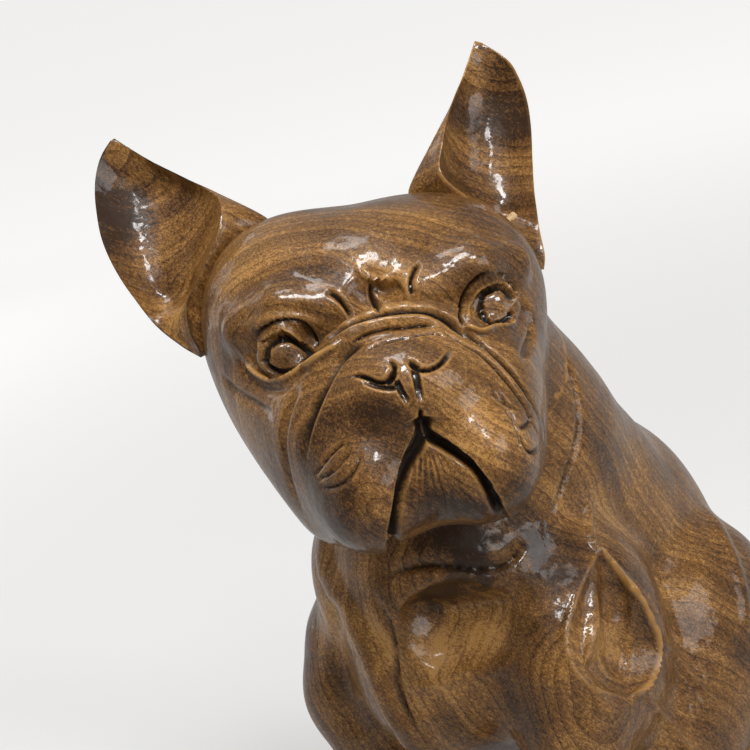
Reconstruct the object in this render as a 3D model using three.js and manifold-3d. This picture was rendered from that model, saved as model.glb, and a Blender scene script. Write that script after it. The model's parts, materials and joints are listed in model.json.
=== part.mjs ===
// A carved hardwood bulldog that sits and looks up over its left shoulder.
// Millimetres, +Z up, the body faces -Y, the dog's left is +X.
import * as THREE from "three";
import { mergeVertices } from "three/addons/utils/BufferGeometryUtils.js";
import Module from "manifold-3d";

const wasm = await Module();
wasm.setup();
const { Manifold } = wasm;

// Driving dimensions: where the figure's parts lie, from its middle and from the ground
const FORE_STANCE = 42;
const HIND_STANCE = 54;
const PAW_FORWARD = 25;
const TOES_BACK = 23;
const RUMP_BACK = 84;
const RUMP_WIDE = 45;
const SHOULDER_HEIGHT = 146;
const BACK_HEIGHT = 96;
const CHEST_FORWARD = 43;
const NECK_THICK = 45;

// Driving dimensions: the joints
const FELT = 2;
const LEG_JOINT = 40;
const FOOT_JOINT = 18;
const FOOT_JOINT_INWARD = 18;
const GLUE = 0.3;
const NECK_JOINT_AT = [0, 14, -34];
const NECK_JOINT_FACING = [0, -0.75, 0.66];

// Driving dimensions: the head's centre, between the eyes and above the neck, and how it turns
const HEAD_ASIDE = 13;
const HEAD_FORWARD = 24;
const HEAD_HEIGHT = 205;
const HEAD_TURNED_LEFT = 46;
const HEAD_RAISED = 14;

// Driving dimensions: pegs and felts
const NECK_PEG = { radius: 6, length: 40, slack: 0.25 };
const LEG_PEG = { radius: 4, length: 26, slack: 0.25 };
const FOOT_PEG = { radius: 3, length: 18, slack: 0.25 };
const EAR_PEG = { radius: 1.5, length: 13, slack: 0.25 };
const PEG_SIDES = 20;
const FORE_FELT = { at: [FORE_STANCE, 1 - PAW_FORWARD], radius: 8.5 };
const HIND_FELT = { at: [HIND_STANCE, TOES_BACK + 23], radius: 8.5 };
const RUMP_FELT = { at: [0, RUMP_BACK], radius: 16 };
const FELT_SIDES = 28;

// Fineness of the wood's faces, as faces along each edge of a block
const HEAD_FACES = 30;
const TRUNK_EDGE = 7.5;
const LEG_FACES = 14;
const EAR_ROWS = 24;
const EAR_COLUMNS = 28;
const WOOD_TOLERANCE = 0.4;
const TRUNK_TOLERANCE = 0.7;

// Masses of wood: each takes a point and gives its distance, negative inside
const flip = ([x, y, z]) => [-x, y, z];

// An ellipsoid, or a hollow scooped out by one
function lump(at, radii, blend = 8, turn = [0, 0, 0], hollow = false) {
  const euler = new THREE.Euler(...turn.map(THREE.MathUtils.degToRad), "ZYX");
  const m = new THREE.Matrix4().makeRotationFromEuler(euler).elements;
  const [a, b, c] = radii;
  const distance = (px, py, pz) => {
    const dx = px - at[0];
    const dy = py - at[1];
    const dz = pz - at[2];
    const x = m[0] * dx + m[1] * dy + m[2] * dz;
    const y = m[4] * dx + m[5] * dy + m[6] * dz;
    const z = m[8] * dx + m[9] * dy + m[10] * dz;
    const near = Math.sqrt((x / a) ** 2 + (y / b) ** 2 + (z / c) ** 2);
    const steep = Math.sqrt((x / a ** 2) ** 2 + (y / b ** 2) ** 2 + (z / c ** 2) ** 2);
    return (near * (near - 1)) / Math.max(steep, 1e-9);
  };
  const mirrored = () => lump(flip(at), radii, blend, [turn[0], -turn[1], -turn[2]], hollow);
  return { distance, blend, hollow, mirrored };
}

// A tapered round bar
function limb(start, end, startRadius, endRadius, blend = 10, hollow = false) {
  const [sx, sy, sz] = [end[0] - start[0], end[1] - start[1], end[2] - start[2]];
  const length2 = sx * sx + sy * sy + sz * sz;
  const distance = (px, py, pz) => {
    const dx = px - start[0];
    const dy = py - start[1];
    const dz = pz - start[2];
    const along = Math.min(Math.max((dx * sx + dy * sy + dz * sz) / length2, 0), 1);
    const radius = startRadius + (endRadius - startRadius) * along;
    const ox = dx - along * sx;
    const oy = dy - along * sy;
    const oz = dz - along * sz;
    return Math.sqrt(ox * ox + oy * oy + oz * oz) - radius;
  };
  const mirrored = () => limb(flip(start), flip(end), startRadius, endRadius, blend, hollow);
  return { distance, blend, hollow, mirrored };
}

// Bars along a smooth curve through marks, whose radii are given at the curve's points
function chain(marks, radii, blend) {
  const last = marks.length - 1;
  const beyond = (end, inner) => end.map((value, k) => 2 * value - inner[k]);
  const padded = [beyond(marks[0], marks[1]), ...marks, beyond(marks[last], marks[last - 1])];
  const points = [];
  for (let i = 0; i < last; i += 1) {
    const [before, here, there, after] = padded.slice(i, i + 4);
    points.push(here);
    points.push(here.map((value, k) => (9 * (value + there[k]) - before[k] - after[k]) / 16));
  }
  points.push(marks[last]);
  const radius = (i) => radii[Math.min(i, radii.length - 1)];
  return points.slice(1).map((end, i) => limb(points[i], end, radius(i), radius(i + 1), blend));
}

const both = (...masses) => masses.flatMap((mass) => [mass, mass.mirrored()]);

// Joins two distances with a fillet
function smoothUnion(first, second, blend) {
  const share = Math.min(Math.max(0.5 + (0.5 * (first - second)) / blend, 0), 1);
  return first + (second - first) * share - blend * share * (1 - share);
}

// A form is a function of a point: its distance to the masses run together in order
function form(masses) {
  return (x, y, z) => {
    let sum = 1e3;
    for (const mass of masses) {
      const other = mass.distance(x, y, z);
      sum = mass.hollow ? -smoothUnion(-sum, other, mass.blend) : smoothUnion(sum, other, mass.blend);
    }
    return sum;
  };
}

// A form whose masses are given in a frame of their own
function placed(shape, inverse) {
  const m = inverse.elements;
  return (x, y, z) =>
    shape(
      m[0] * x + m[4] * y + m[8] * z + m[12],
      m[1] * x + m[5] * y + m[9] * z + m[13],
      m[2] * x + m[6] * y + m[10] * z + m[14],
    );
}

// A form without the wood in front of a flat
function cutBack(shape, at, facing) {
  const reach = facing.dot(at);
  return (x, y, z) => Math.max(shape(x, y, z), facing.x * x + facing.y * y + facing.z * z - reach);
}

// Where the head's own frame lies in the figure
const HEAD = new THREE.Matrix4()
  .makeTranslation(HEAD_ASIDE, -HEAD_FORWARD, HEAD_HEIGHT)
  .multiply(new THREE.Matrix4().makeRotationZ(THREE.MathUtils.degToRad(HEAD_TURNED_LEFT)))
  .multiply(new THREE.Matrix4().makeRotationX(THREE.MathUtils.degToRad(-HEAD_RAISED)));

const headPoint = (p) => new THREE.Vector3(...p).applyMatrix4(HEAD);
const headDirection = (d) => new THREE.Vector3(...d).transformDirection(HEAD);

// Head, in its own frame: +X to its left, -Y out of its face, eyes at Z 0
const headMasses = [
  lump([0, 8, 0], [53.5, 46, 41], 10),
  lump([-24, 2, 14], [28, 36, 28], 12),
  lump([22.5, 2, 9], [29, 36, 27], 12),
  lump([-32, -6, -18], [17, 32, 24], 12),
  lump([29.5, -6, -18], [17, 32, 24], 12),
  ...both(lump([24, -16, -40], [17, 28, 22], 12)),
  lump([0, -18, 14], [30, 24, 22], 10),
  lump([0, 14, -30], [44, 34, 34], 10),
  // brows, sockets and eyes
  ...both(
    limb([42, -25, 10.5], [29, -34.5, 12.5], 6, 7, 6),
    limb([29, -34.5, 12.5], [11, -38.5, 9], 7, 6.5, 6),
    lump([31.5, -45, -1.5], [13.5, 9.5, 10.5], 3.5, [0, 0, 0], true),
    lump([31, -32, -0.8], [7.6, 7.6, 7.6], 0.6),
  ),
  lump([-3, -48, 10], [7, 7, 6], 5, [0, 0, 0], true),
  // muzzle, flews, the roll over the nose, and the nose
  lump([0, -34, -28], [36, 31, 33], 6),
  ...both(lump([17, -40, -42], [18, 27, 22], 6), lump([27, -30, -22], [13, 22, 17], 8)),
  ...both(
    ...chain(
      [[0, -49, 2], [11, -48.5, 0], [21, -46.5, -6], [29, -43.5, -17], [33.5, -38, -29], [35.5, -30, -42]],
      [5, 5, 5, 5, 4.64, 4.29, 3.93, 3.57, 3.21, 2.86, 2.5],
      2,
    ),
  ),
  lump([0, -44, -18], [25, 24, 17], 5),
];
const headForm = placed(form(headMasses), HEAD.clone().invert());

// Neck, chest, back and rump
const bodyForm = form([
  limb([6, 8, HEAD_HEIGHT - 23], [2, 26, SHOULDER_HEIGHT], NECK_THICK - 5, NECK_THICK, 10),
  limb([0, 28, SHOULDER_HEIGHT], [0, RUMP_BACK - 18, BACK_HEIGHT], NECK_THICK, NECK_THICK + 1, 10),
  lump([0, RUMP_BACK + 4, 64], [RUMP_WIDE, 41, 68], 10),
  lump([2, 0, SHOULDER_HEIGHT - 30], [39, CHEST_FORWARD, 52], 14),
  lump([0, 35 - CHEST_FORWARD, BACK_HEIGHT - 12], [34, 35, 36], 10),
  ...both(
    lump([29, 4, 92], [22, 30, 42], 8),
    limb([FORE_STANCE + 2, -6, 84], [FORE_STANCE, 12 - PAW_FORWARD, 36], 19, 14, 8),
    lump([FORE_STANCE + 1, 14, 78], [19, 34, 42], 12),
    lump([HIND_STANCE - 16, RUMP_BACK - 6, 55], [27, 42, 42], 7),
    lump([HIND_STANCE - 18, RUMP_BACK - 18, 38], [26, 42, 40], 12),
    lump([HIND_STANCE - 14, TOES_BACK + 23, 30], [24, 40, 26], 10),
  ),
  lump([0, 44, 62], [40, 60, 42], 10),
  lump([-28, -16, 114], [15.5, 15.5, 26], 10),
  lump([-50, -11, 66], [15.5, 16.5, 18], 10),
  // the keel from the neck's right side over the chest
  ...chain(
    [
      [-25, -25, 134],
      [-22, 12 - CHEST_FORWARD, 123],
      [-12, 6.5 - CHEST_FORWARD, 113],
      [-6, 4.5 - CHEST_FORWARD, 100],
      [-2.5, 3.5 - CHEST_FORWARD, 87],
      [0.5, 4.5 - CHEST_FORWARD, 76],
      [0, 11 - CHEST_FORWARD, 61],
    ],
    [6],
    4,
  ),
  // the hollow under the jaw, the teardrop behind the left shoulder, and the way through between the legs
  lump([30, 5 - CHEST_FORWARD, 108], [24, 15, 18], 2, [0, 0, 32], true),
  limb([FORE_STANCE + 18, 13, 113], [FORE_STANCE + 25, 5, 95], 7.5, 12, 1.5, true),
  lump([FORE_STANCE + 30, 2, 85], [16, 23.6, 20], 1.5, [0, 0, 0], true),
  lump([0, -30, 20], [24, 52, 32], 6, [0, 0, 0], true),
]);

// The whole carving above the legs' joints
const figure = (x, y, z) => smoothUnion(headForm(x, y, z), bodyForm(x, y, z), 4);

// Toes side by side across a paw's front
const toes = (middle, apart, tall, long) =>
  [-1.5, -0.5, 0.5, 1.5].map((k) =>
    lump([middle[0] + k * apart, middle[1] + Math.abs(k) * 2, middle[2]], [apart * 0.62, long, tall], 1.5),
  );

const forelegForm = form([
  limb([FORE_STANCE, -8, 60], [FORE_STANCE, 12 - PAW_FORWARD, 36], 17, 14, 8),
  limb([FORE_STANCE, 12 - PAW_FORWARD, 36], [FORE_STANCE, 8 - PAW_FORWARD, 14], 14, 12, 6),
  lump([FORE_STANCE, -PAW_FORWARD, 11], [14, 18, 12], 6),
  ...toes([FORE_STANCE, -PAW_FORWARD - 12, 8.5], 7.4, 8.5, 10),
]);

const hindFootForm = form([
  limb([HIND_STANCE - 6, RUMP_BACK, 9], [HIND_STANCE + 3, TOES_BACK + 11, 9], 15, 12, 8),
  lump([HIND_STANCE + 5, TOES_BACK, 9], [14, 18, 11], 6),
  ...toes([HIND_STANCE + 5, TOES_BACK - 12, 7.5], 7.2, 7.5, 9),
]);

// A closed block of near-square faces, as directions from its middle
function block(faces) {
  const box = new THREE.BoxGeometry(2, 2, 2, faces, faces, faces);
  box.deleteAttribute("normal");
  box.deleteAttribute("uv");
  const merged = mergeVertices(box, 1e-5);
  const position = merged.getAttribute("position");
  for (let i = 0; i < position.count; i += 1) {
    const corner = new THREE.Vector3().fromBufferAttribute(position, i);
    corner.set(
      Math.tan((corner.x * Math.PI) / 4),
      Math.tan((corner.y * Math.PI) / 4),
      Math.tan((corner.z * Math.PI) / 4),
    );
    corner.normalize();
    position.setXYZ(i, corner.x, corner.y, corner.z);
  }
  return merged;
}

function solidOf(geometry) {
  return new Manifold(
    new wasm.Mesh({
      numProp: 3,
      vertProperties: new Float32Array(geometry.getAttribute("position").array),
      triVerts: new Uint32Array(geometry.index.array),
    }),
  );
}

// Shrinks a block onto a form along rays that leave a line inside it
function carve(shape, spine, faces, reach = 170, swell = 0, frame = new THREE.Matrix4()) {
  const geometry = block(faces);
  const position = geometry.getAttribute("position");
  const low = new THREE.Vector3(...spine[0]);
  const high = new THREE.Vector3(...spine[1]);
  const axis = high.clone().sub(low).normalize();
  for (let i = 0; i < position.count; i += 1) {
    const ray = new THREE.Vector3().fromBufferAttribute(position, i);
    const origin = low.clone().lerp(high, 0.5 + 0.5 * ray.dot(axis)).applyMatrix4(frame);
    ray.transformDirection(frame);
    let out = reach;
    for (let step = 0; step < 80; step += 1) {
      const gap = shape(origin.x + ray.x * out, origin.y + ray.y * out, origin.z + ray.z * out) - swell;
      out = Math.max(out - 0.75 * gap, 0.5);
      if (Math.abs(gap) < 0.002) break;
    }
    const found = origin.addScaledVector(ray, out);
    position.setXYZ(i, found.x, found.y, found.z);
  }
  return solidOf(geometry);
}

const vector = (v) => [v.x, v.y, v.z];

// Cuts away all the wood in front of a flat
function trim(solid, at, facing) {
  const normal = facing.clone().negate();
  return solid.trimByPlane(vector(normal), normal.dot(at));
}

// A round peg about a point, along a direction
function peg(at, along, { radius, length }, extra = 0) {
  const rod = Manifold.cylinder(length + 2 * extra, radius + extra, radius + extra, PEG_SIDES, true);
  const turn = new THREE.Quaternion().setFromUnitVectors(new THREE.Vector3(0, 0, 1), along.clone().normalize());
  const matrix = new THREE.Matrix4().compose(at, turn, new THREE.Vector3(1, 1, 1));
  return rod.transform(matrix.elements);
}

const hole = (at, along, size) => peg(at, along, size, size.slack);

// Ears: sections from foot to tip, each with its outer rim, front rim and root, its cup and its thickness
const RIGHT_EAR = {
  behind: [0.3, 0.93, -0.2],
  rows: [
    [0, [-56, 3, 5], [-56, 1, 7], [-54, 2, 6], 0, 1],
    [0.14, [-62, 7, 11], [-57.5, -1, 14], [-50, 2, 12], 3, 7],
    [0.28, [-69, 9, 21], [-55.5, -2, 24], [-46, 4, 20], 6, 10],
    [0.42, [-75, 12, 35.5], [-48.5, -2, 32.5], [-40, 5, 30], 12, 10],
    [0.56, [-78, 15, 50], [-39.5, 0, 46], [-30, 6, 38], 13, 9],
    [0.66, [-77.5, 17.5, 60], [-38.7, 5, 53], [-25, 8, 43], 12, 7],
    [0.74, [-76.5, 19, 66], [-42, 11, 57.5], [-39, 11, 55.5], 10, 5],
    [0.83, [-74.5, 20.5, 72], [-49, 16, 64], [-48, 16, 63], 7, 3.5],
    [0.92, [-71.5, 21.5, 77], [-58, 19, 72], [-57.5, 19, 71.5], 3, 2.5],
    [1, [-67.5, 22, 81], [-66.5, 22, 81], [-66.5, 22, 81], 0, 1],
  ],
};
const LEFT_EAR = {
  behind: [-0.3, 0.93, -0.2],
  rows: [
    [0, [56, 3, 6], [56, 1, 8], [54, 1, 7], 0, 1],
    [0.14, [58, 6, 11], [51, 1, 15], [46, 3, 12], 3, 7],
    [0.28, [59, 10, 21], [44, 1, 27], [40, 5, 22], 6, 10],
    [0.42, [60.5, 12, 31], [37, 0, 35], [32, 6, 30], 11, 10],
    [0.56, [63, 15, 42], [31, 0, 45], [24, 7, 38], 13, 9],
    [0.66, [65.5, 17, 53], [34.5, 5, 53.5], [21, 8, 42], 12, 7],
    [0.74, [66.5, 18.5, 61], [38, 11, 60], [33, 11, 56], 10, 5],
    [0.83, [66, 20, 69], [43, 16, 67.5], [42, 16, 66], 7, 3.5],
    [0.92, [63.5, 21, 76.5], [49.5, 19, 76], [49, 19, 75.5], 3, 2.5],
    [1, [56, 22, 84.5], [55, 22, 84.5], [55, 22, 84.5], 0, 1],
  ],
};
const EAR_FRONT = 1.1;

// One section's numbers at a height between the rows, on a smooth curve through them
function section(rows, up) {
  const flatRows = rows.map(([mark, ...rest]) => [mark, ...rest.flat()]);
  let i = 0;
  while (i < flatRows.length - 2 && flatRows[i + 1][0] < up) i += 1;
  const slope = (k, j) => {
    const [before, here, after] = [flatRows[k - 1], flatRows[k], flatRows[k + 1]];
    if (!before) return (after[j] - here[j]) / (after[0] - here[0]);
    if (!after) return (here[j] - before[j]) / (here[0] - before[0]);
    const [left, right] = [here[0] - before[0], after[0] - here[0]];
    const [down, rise] = [(here[j] - before[j]) / left, (after[j] - here[j]) / right];
    return (down * right + rise * left) / (left + right);
  };
  const [low, high] = [flatRows[i], flatRows[i + 1]];
  const span = high[0] - low[0];
  const t = (up - low[0]) / span;
  return low.slice(1).map((value, k) => {
    const j = k + 1;
    return (
      (2 * t ** 3 - 3 * t ** 2 + 1) * value +
      (t ** 3 - 2 * t ** 2 + t) * span * slope(i, j) +
      (3 * t ** 2 - 2 * t ** 3) * high[j] +
      (t ** 3 - t ** 2) * span * slope(i + 1, j)
    );
  });
}

// A point of an ear's skin: out along the front for turns below a half, home over the back above it
function earPoint({ rows, behind }, up, turn) {
  const values = section(rows, up);
  const outer = new THREE.Vector3(...values.slice(0, 3));
  const strut = new THREE.Vector3(...values.slice(3, 6));
  const root = new THREE.Vector3(...values.slice(6, 9));
  const [cup, back] = values.slice(9);
  const ends = Math.sqrt(THREE.MathUtils.clamp(Math.min(up, 1 - up) * 12, 0, 1));
  const arch = (x) => 1 - Math.abs(2 * x - 1) ** 2.4;
  const bulge = (x, power) => Math.max(Math.sin(Math.PI * x), 0) ** power;
  const push = new THREE.Vector3(...behind).normalize();
  if (turn < 0.5) {
    const rise = Math.min(turn / 0.1, 1);
    const across = THREE.MathUtils.clamp((turn - 0.1) / 0.4, 0, 1);
    const face = root.clone().addScaledVector(strut.clone().sub(root), rise);
    face.addScaledVector(outer.clone().sub(strut), across);
    return face.addScaledVector(push, (cup * arch(across) - EAR_FRONT * bulge(across, 0.5)) * ends);
  }
  const home = (turn - 0.5) / 0.5;
  return outer.lerp(root, home).addScaledVector(push, (back * bulge(home, 0.7) + cup * arch(home)) * ends);
}

function earSolid(ear) {
  const points = [earPoint(ear, 0, 0.25)];
  for (let row = 1; row < EAR_ROWS; row += 1)
    for (let column = 0; column < EAR_COLUMNS; column += 1)
      points.push(earPoint(ear, row / EAR_ROWS, column / EAR_COLUMNS));
  points.push(earPoint(ear, 1, 0.25));
  const last = points.length - 1;
  const at = (row, column) => 1 + (row - 1) * EAR_COLUMNS + (column % EAR_COLUMNS);
  const faces = [];
  for (let column = 0; column < EAR_COLUMNS; column += 1) {
    faces.push(0, at(1, column + 1), at(1, column));
    faces.push(last, at(EAR_ROWS - 1, column), at(EAR_ROWS - 1, column + 1));
    for (let row = 1; row < EAR_ROWS - 1; row += 1) {
      faces.push(at(row, column), at(row, column + 1), at(row + 1, column + 1));
      faces.push(at(row, column), at(row + 1, column + 1), at(row + 1, column));
    }
  }
  const geometry = new THREE.BufferGeometry().setFromPoints(points);
  geometry.setIndex(faces);
  geometry.applyMatrix4(HEAD);
  const solid = solidOf(geometry);
  return (solid.volume() > 0 ? solid : solidOf(reversed(geometry))).simplify(WOOD_TOLERANCE / 2);
}

function reversed(geometry) {
  const index = Array.from(geometry.index.array);
  for (let i = 0; i < index.length; i += 3) [index[i + 1], index[i + 2]] = [index[i + 2], index[i + 1]];
  return geometry.clone().setIndex(index);
}

// The largest of a solid's separate bodies
function largest(solid) {
  return solid.decompose().reduce((best, body) => (body.volume() > best.volume() ? body : best));
}

const DOWN = new THREE.Vector3(0, 0, -1);
const UP = new THREE.Vector3(0, 0, 1);

// Neck joint, in the crease behind the jaw
const neckAt = headPoint(NECK_JOINT_AT);
const neckFacing = headDirection(NECK_JOINT_FACING);
const neckBack = neckFacing.clone().negate();
const HEAD_SPINE = [[0, 10, -6], [0, -16, -12]];
const TRUNK_BOX = {
  min: [-HIND_STANCE - 36, -CHEST_FORWARD - 27, -12],
  max: [HIND_STANCE + 36, RUMP_BACK + 76, HEAD_HEIGHT + 10],
};

function headBlank(swell) {
  const open = cutBack(figure, neckAt.clone().addScaledVector(neckBack, 4), neckBack);
  return carve(open, HEAD_SPINE, HEAD_FACES, 150, swell, HEAD).simplify(WOOD_TOLERANCE);
}

// The trunk has legs and hollows, so it is skinned on a grid
function trunkBlank() {
  const open = cutBack(figure, neckAt.clone().addScaledVector(neckFacing, 4), neckFacing);
  const skin = Manifold.levelSet(([x, y, z]) => -open(x, y, z), TRUNK_BOX, TRUNK_EDGE, 0, 0.02);
  return skin.simplify(TRUNK_TOLERANCE);
}

// Ear pegs, in the head's frame
const EAR_PEG_AT = { left: [48, 15, 22.5], right: [-47, 13.5, 27.5] };
const EAR_PEG_ALONG = { left: [0.94, 0.29, 0.61], right: [-1.1, 0.14, 0.85] };
const SIDES = { left: 1, right: -1 };

function makeHead() {
  let head = trim(headBlank(0), neckAt.clone().addScaledVector(neckFacing, GLUE / 2), neckBack);
  head = head.subtract(hole(neckAt, neckFacing, NECK_PEG));
  for (const side of Object.keys(SIDES))
    head = head.subtract(hole(headPoint(EAR_PEG_AT[side]), headDirection(EAR_PEG_ALONG[side]), EAR_PEG));
  return largest(head);
}

function makeEar(side, swollenHead) {
  const ear = earSolid(side === "left" ? LEFT_EAR : RIGHT_EAR).subtract(swollenHead);
  return largest(ear.subtract(hole(headPoint(EAR_PEG_AT[side]), headDirection(EAR_PEG_ALONG[side]), EAR_PEG)));
}

// The joints' places: a leg's peg in the middle of its joint, a foot's peg short of its inner side
const LEG_PEG_FORWARD = PAW_FORWARD / 2;
const FOOT_PEG_BACK = RUMP_BACK - 22;
const FOOT_JOINT_SIDE = HIND_STANCE - FOOT_JOINT_INWARD;
const CLEAR = 20;
const legPegAt = (s) => new THREE.Vector3(FORE_STANCE * s, -LEG_PEG_FORWARD, LEG_JOINT);
const footPegAt = (s) => new THREE.Vector3((HIND_STANCE - 4) * s, FOOT_PEG_BACK, FOOT_JOINT - 1);

// What the forelegs and hind feet take the place of, under the trunk
function underTrunk(s) {
  const box = (near, far, front, back, top) =>
    Manifold.cube([far - near, back - front, top + CLEAR]).translate([s > 0 ? near : -far, front, -CLEAR]);
  const outside = HIND_STANCE + 2 * CLEAR;
  const foreleg = box(FORE_STANCE - 22, outside, -PAW_FORWARD - 45, PAW_FORWARD - 15, LEG_JOINT);
  const foot = box(FOOT_JOINT_SIDE, outside, TOES_BACK - 23, RUMP_BACK + 46, FOOT_JOINT);
  return Manifold.union([foreleg, foot]);
}

function makeTrunk() {
  let trunk = trim(trunkBlank(), neckAt.clone().addScaledVector(neckFacing, -GLUE / 2), neckFacing);
  trunk = trim(trunk, new THREE.Vector3(0, 0, FELT), DOWN);
  trunk = trunk.subtract(hole(neckAt, neckFacing, NECK_PEG));
  for (const s of Object.values(SIDES)) {
    trunk = trunk.subtract(underTrunk(s));
    trunk = trunk.subtract(hole(legPegAt(s), UP, LEG_PEG)).subtract(hole(footPegAt(s), UP, FOOT_PEG));
  }
  return largest(trunk);
}

function makeForeleg(s) {
  const spine = [[FORE_STANCE, 7 - PAW_FORWARD, 14], [FORE_STANCE, -LEG_PEG_FORWARD, LEG_JOINT + 8]];
  let leg = carve(forelegForm, spine, LEG_FACES, 90).simplify(WOOD_TOLERANCE);
  leg = trim(leg, new THREE.Vector3(0, 0, LEG_JOINT), UP);
  leg = trim(leg, new THREE.Vector3(0, 0, FELT), DOWN);
  leg = s < 0 ? leg.mirror([1, 0, 0]) : leg;
  return leg.subtract(hole(legPegAt(s), UP, LEG_PEG));
}

function makeHindFoot(s) {
  const spine = [[HIND_STANCE + 4, TOES_BACK + 3, 9], [HIND_STANCE - 4, RUMP_BACK - 10, 9]];
  let foot = carve(hindFootForm, spine, LEG_FACES, 90).simplify(WOOD_TOLERANCE);
  foot = trim(foot, new THREE.Vector3(0, 0, FOOT_JOINT), UP);
  foot = trim(foot, new THREE.Vector3(0, 0, FELT), DOWN);
  foot = trim(foot, new THREE.Vector3(FOOT_JOINT_SIDE + GLUE, 0, 0), new THREE.Vector3(-1, 0, 0));
  foot = s < 0 ? foot.mirror([1, 0, 0]) : foot;
  return foot.subtract(hole(footPegAt(s), UP, FOOT_PEG));
}

const felt = ({ at, radius }, s = 1) =>
  Manifold.cylinder(FELT, radius, radius, FELT_SIDES).translate([at[0] * s, at[1], 0]);

const WOOD = new THREE.MeshStandardMaterial({ color: 0x7a4a22, roughness: 0.4 });
const PALE_WOOD = new THREE.MeshStandardMaterial({ color: 0xc9a878, roughness: 0.7 });
const FELT_CLOTH = new THREE.MeshStandardMaterial({ color: 0x2d4634, roughness: 1 });

function meshOf(name, solid, material) {
  const { numProp, vertProperties, triVerts } = solid.getMesh();
  const count = vertProperties.length / numProp;
  const places = new Float32Array(count * 3);
  for (let i = 0; i < count; i += 1) places.set(vertProperties.subarray(i * numProp, i * numProp + 3), i * 3);
  const geometry = new THREE.BufferGeometry();
  geometry.setAttribute("position", new THREE.BufferAttribute(places, 3));
  geometry.setIndex(new THREE.BufferAttribute(new Uint32Array(triVerts), 1));
  geometry.computeVertexNormals();
  const mesh = new THREE.Mesh(geometry, material);
  mesh.name = name;
  return mesh;
}

const swollenHead = headBlank(GLUE);
const group = new THREE.Group();
group.add(meshOf("trunk", makeTrunk(), WOOD), meshOf("head", makeHead(), WOOD));
group.add(meshOf("neck_peg", peg(neckAt, neckFacing, NECK_PEG), PALE_WOOD));
for (const [side, s] of Object.entries(SIDES)) {
  group.add(
    meshOf(`ear_${side}`, makeEar(side, swollenHead), WOOD),
    meshOf(`ear_peg_${side}`, peg(headPoint(EAR_PEG_AT[side]), headDirection(EAR_PEG_ALONG[side]), EAR_PEG), PALE_WOOD),
    meshOf(`foreleg_${side}`, makeForeleg(s), WOOD),
    meshOf(`foreleg_peg_${side}`, peg(legPegAt(s), UP, LEG_PEG), PALE_WOOD),
    meshOf(`hind_foot_${side}`, makeHindFoot(s), WOOD),
    meshOf(`hind_foot_peg_${side}`, peg(footPegAt(s), UP, FOOT_PEG), PALE_WOOD),
    meshOf(`fore_felt_${side}`, felt(FORE_FELT, s), FELT_CLOTH),
    meshOf(`hind_felt_${side}`, felt(HIND_FELT, s), FELT_CLOTH),
  );
}
group.add(meshOf("rump_felt", felt(RUMP_FELT), FELT_CLOTH));

// The part's origin is under the middle of its bounding box
const bounds = new THREE.Box3().setFromObject(group);
const middle = bounds.getCenter(new THREE.Vector3());
group.position.set(-middle.x, -middle.y, -bounds.min.z);
export default group;
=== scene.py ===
"""Looks of a carved hardwood bulldog that sits and looks up over its left shoulder.

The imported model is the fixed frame. Each carved piece is cut again here at the fineness of a
gouge, on the same rounded masses as the solid that it stands for, and gets an oiled wood finish.
Lengths are millimetres until a mesh is finished, and metres after that.
"""

from __future__ import annotations

import json
import logging
import math
from dataclasses import dataclass, field
from enum import Enum

import bpy
import numpy as np
from mathutils import Euler, Matrix, Vector

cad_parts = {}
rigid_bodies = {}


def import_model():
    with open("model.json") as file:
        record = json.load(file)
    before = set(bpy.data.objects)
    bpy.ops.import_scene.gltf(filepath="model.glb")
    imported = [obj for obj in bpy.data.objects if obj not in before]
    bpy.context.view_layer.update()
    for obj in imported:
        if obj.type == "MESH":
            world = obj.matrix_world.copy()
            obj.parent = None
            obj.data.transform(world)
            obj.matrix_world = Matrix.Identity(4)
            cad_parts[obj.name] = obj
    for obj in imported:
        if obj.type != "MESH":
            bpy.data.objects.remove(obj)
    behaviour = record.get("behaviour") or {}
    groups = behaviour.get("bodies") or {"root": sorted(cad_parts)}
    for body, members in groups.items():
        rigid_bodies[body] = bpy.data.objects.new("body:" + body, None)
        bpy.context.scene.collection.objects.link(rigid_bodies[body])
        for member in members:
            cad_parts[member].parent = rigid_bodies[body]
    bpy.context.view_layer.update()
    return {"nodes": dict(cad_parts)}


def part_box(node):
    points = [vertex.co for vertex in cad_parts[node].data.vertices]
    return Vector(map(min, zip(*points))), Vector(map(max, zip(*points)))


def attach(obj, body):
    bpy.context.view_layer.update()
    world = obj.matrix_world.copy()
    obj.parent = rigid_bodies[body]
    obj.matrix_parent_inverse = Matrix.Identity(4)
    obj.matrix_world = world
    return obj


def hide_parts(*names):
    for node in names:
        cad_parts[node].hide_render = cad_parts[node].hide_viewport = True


logging.basicConfig(level=logging.INFO, format="%(message)s")
LOG = logging.getLogger("bulldog")

Array = np.ndarray
Triple = tuple[float, float, float]
Pixel = tuple[float, float]
Socket = bpy.types.NodeSocket
Value = Socket | float | tuple[float, ...]

METRES_PER_MM = 0.001

# The photograph: its side in pixels, and the sensor's side in millimetres
PICTURE_SIDE = 750
SENSOR_MM = 36.0

# Drawing a blank onto a form: steps of a ray, share of the gap it steps, and where it may stop
RAY_STEPS = 24
RAY_PACE = 0.75
RAY_END = 0.05
RAY_LEAST = 0.5

# Looking through the camera at a form: steps of the sight line, share of the gap, and where it stops
SIGHT_STEPS = 96
SIGHT_PACE = 0.7
SIGHT_END = 0.01

# Settling a skin: step for slopes, least slope, most that a vertex moves, and rounds without evening
SLOPE_STEP = 0.05
SLOPE_LEAST = 0.3
MOVE_MOST = 6.0
LAST_ROUNDS = 2

# A cut narrower than this on one side is a groove, painted dark as polish and painted shade, and a ridge as
# narrow gets a painted highlight; a wide one gets less
GROOVE = 1.7
GROOVE_SPREAD = 0.25

# Points of a cut's curve from one mark to the next
CURVE_STEPS = 6

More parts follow.
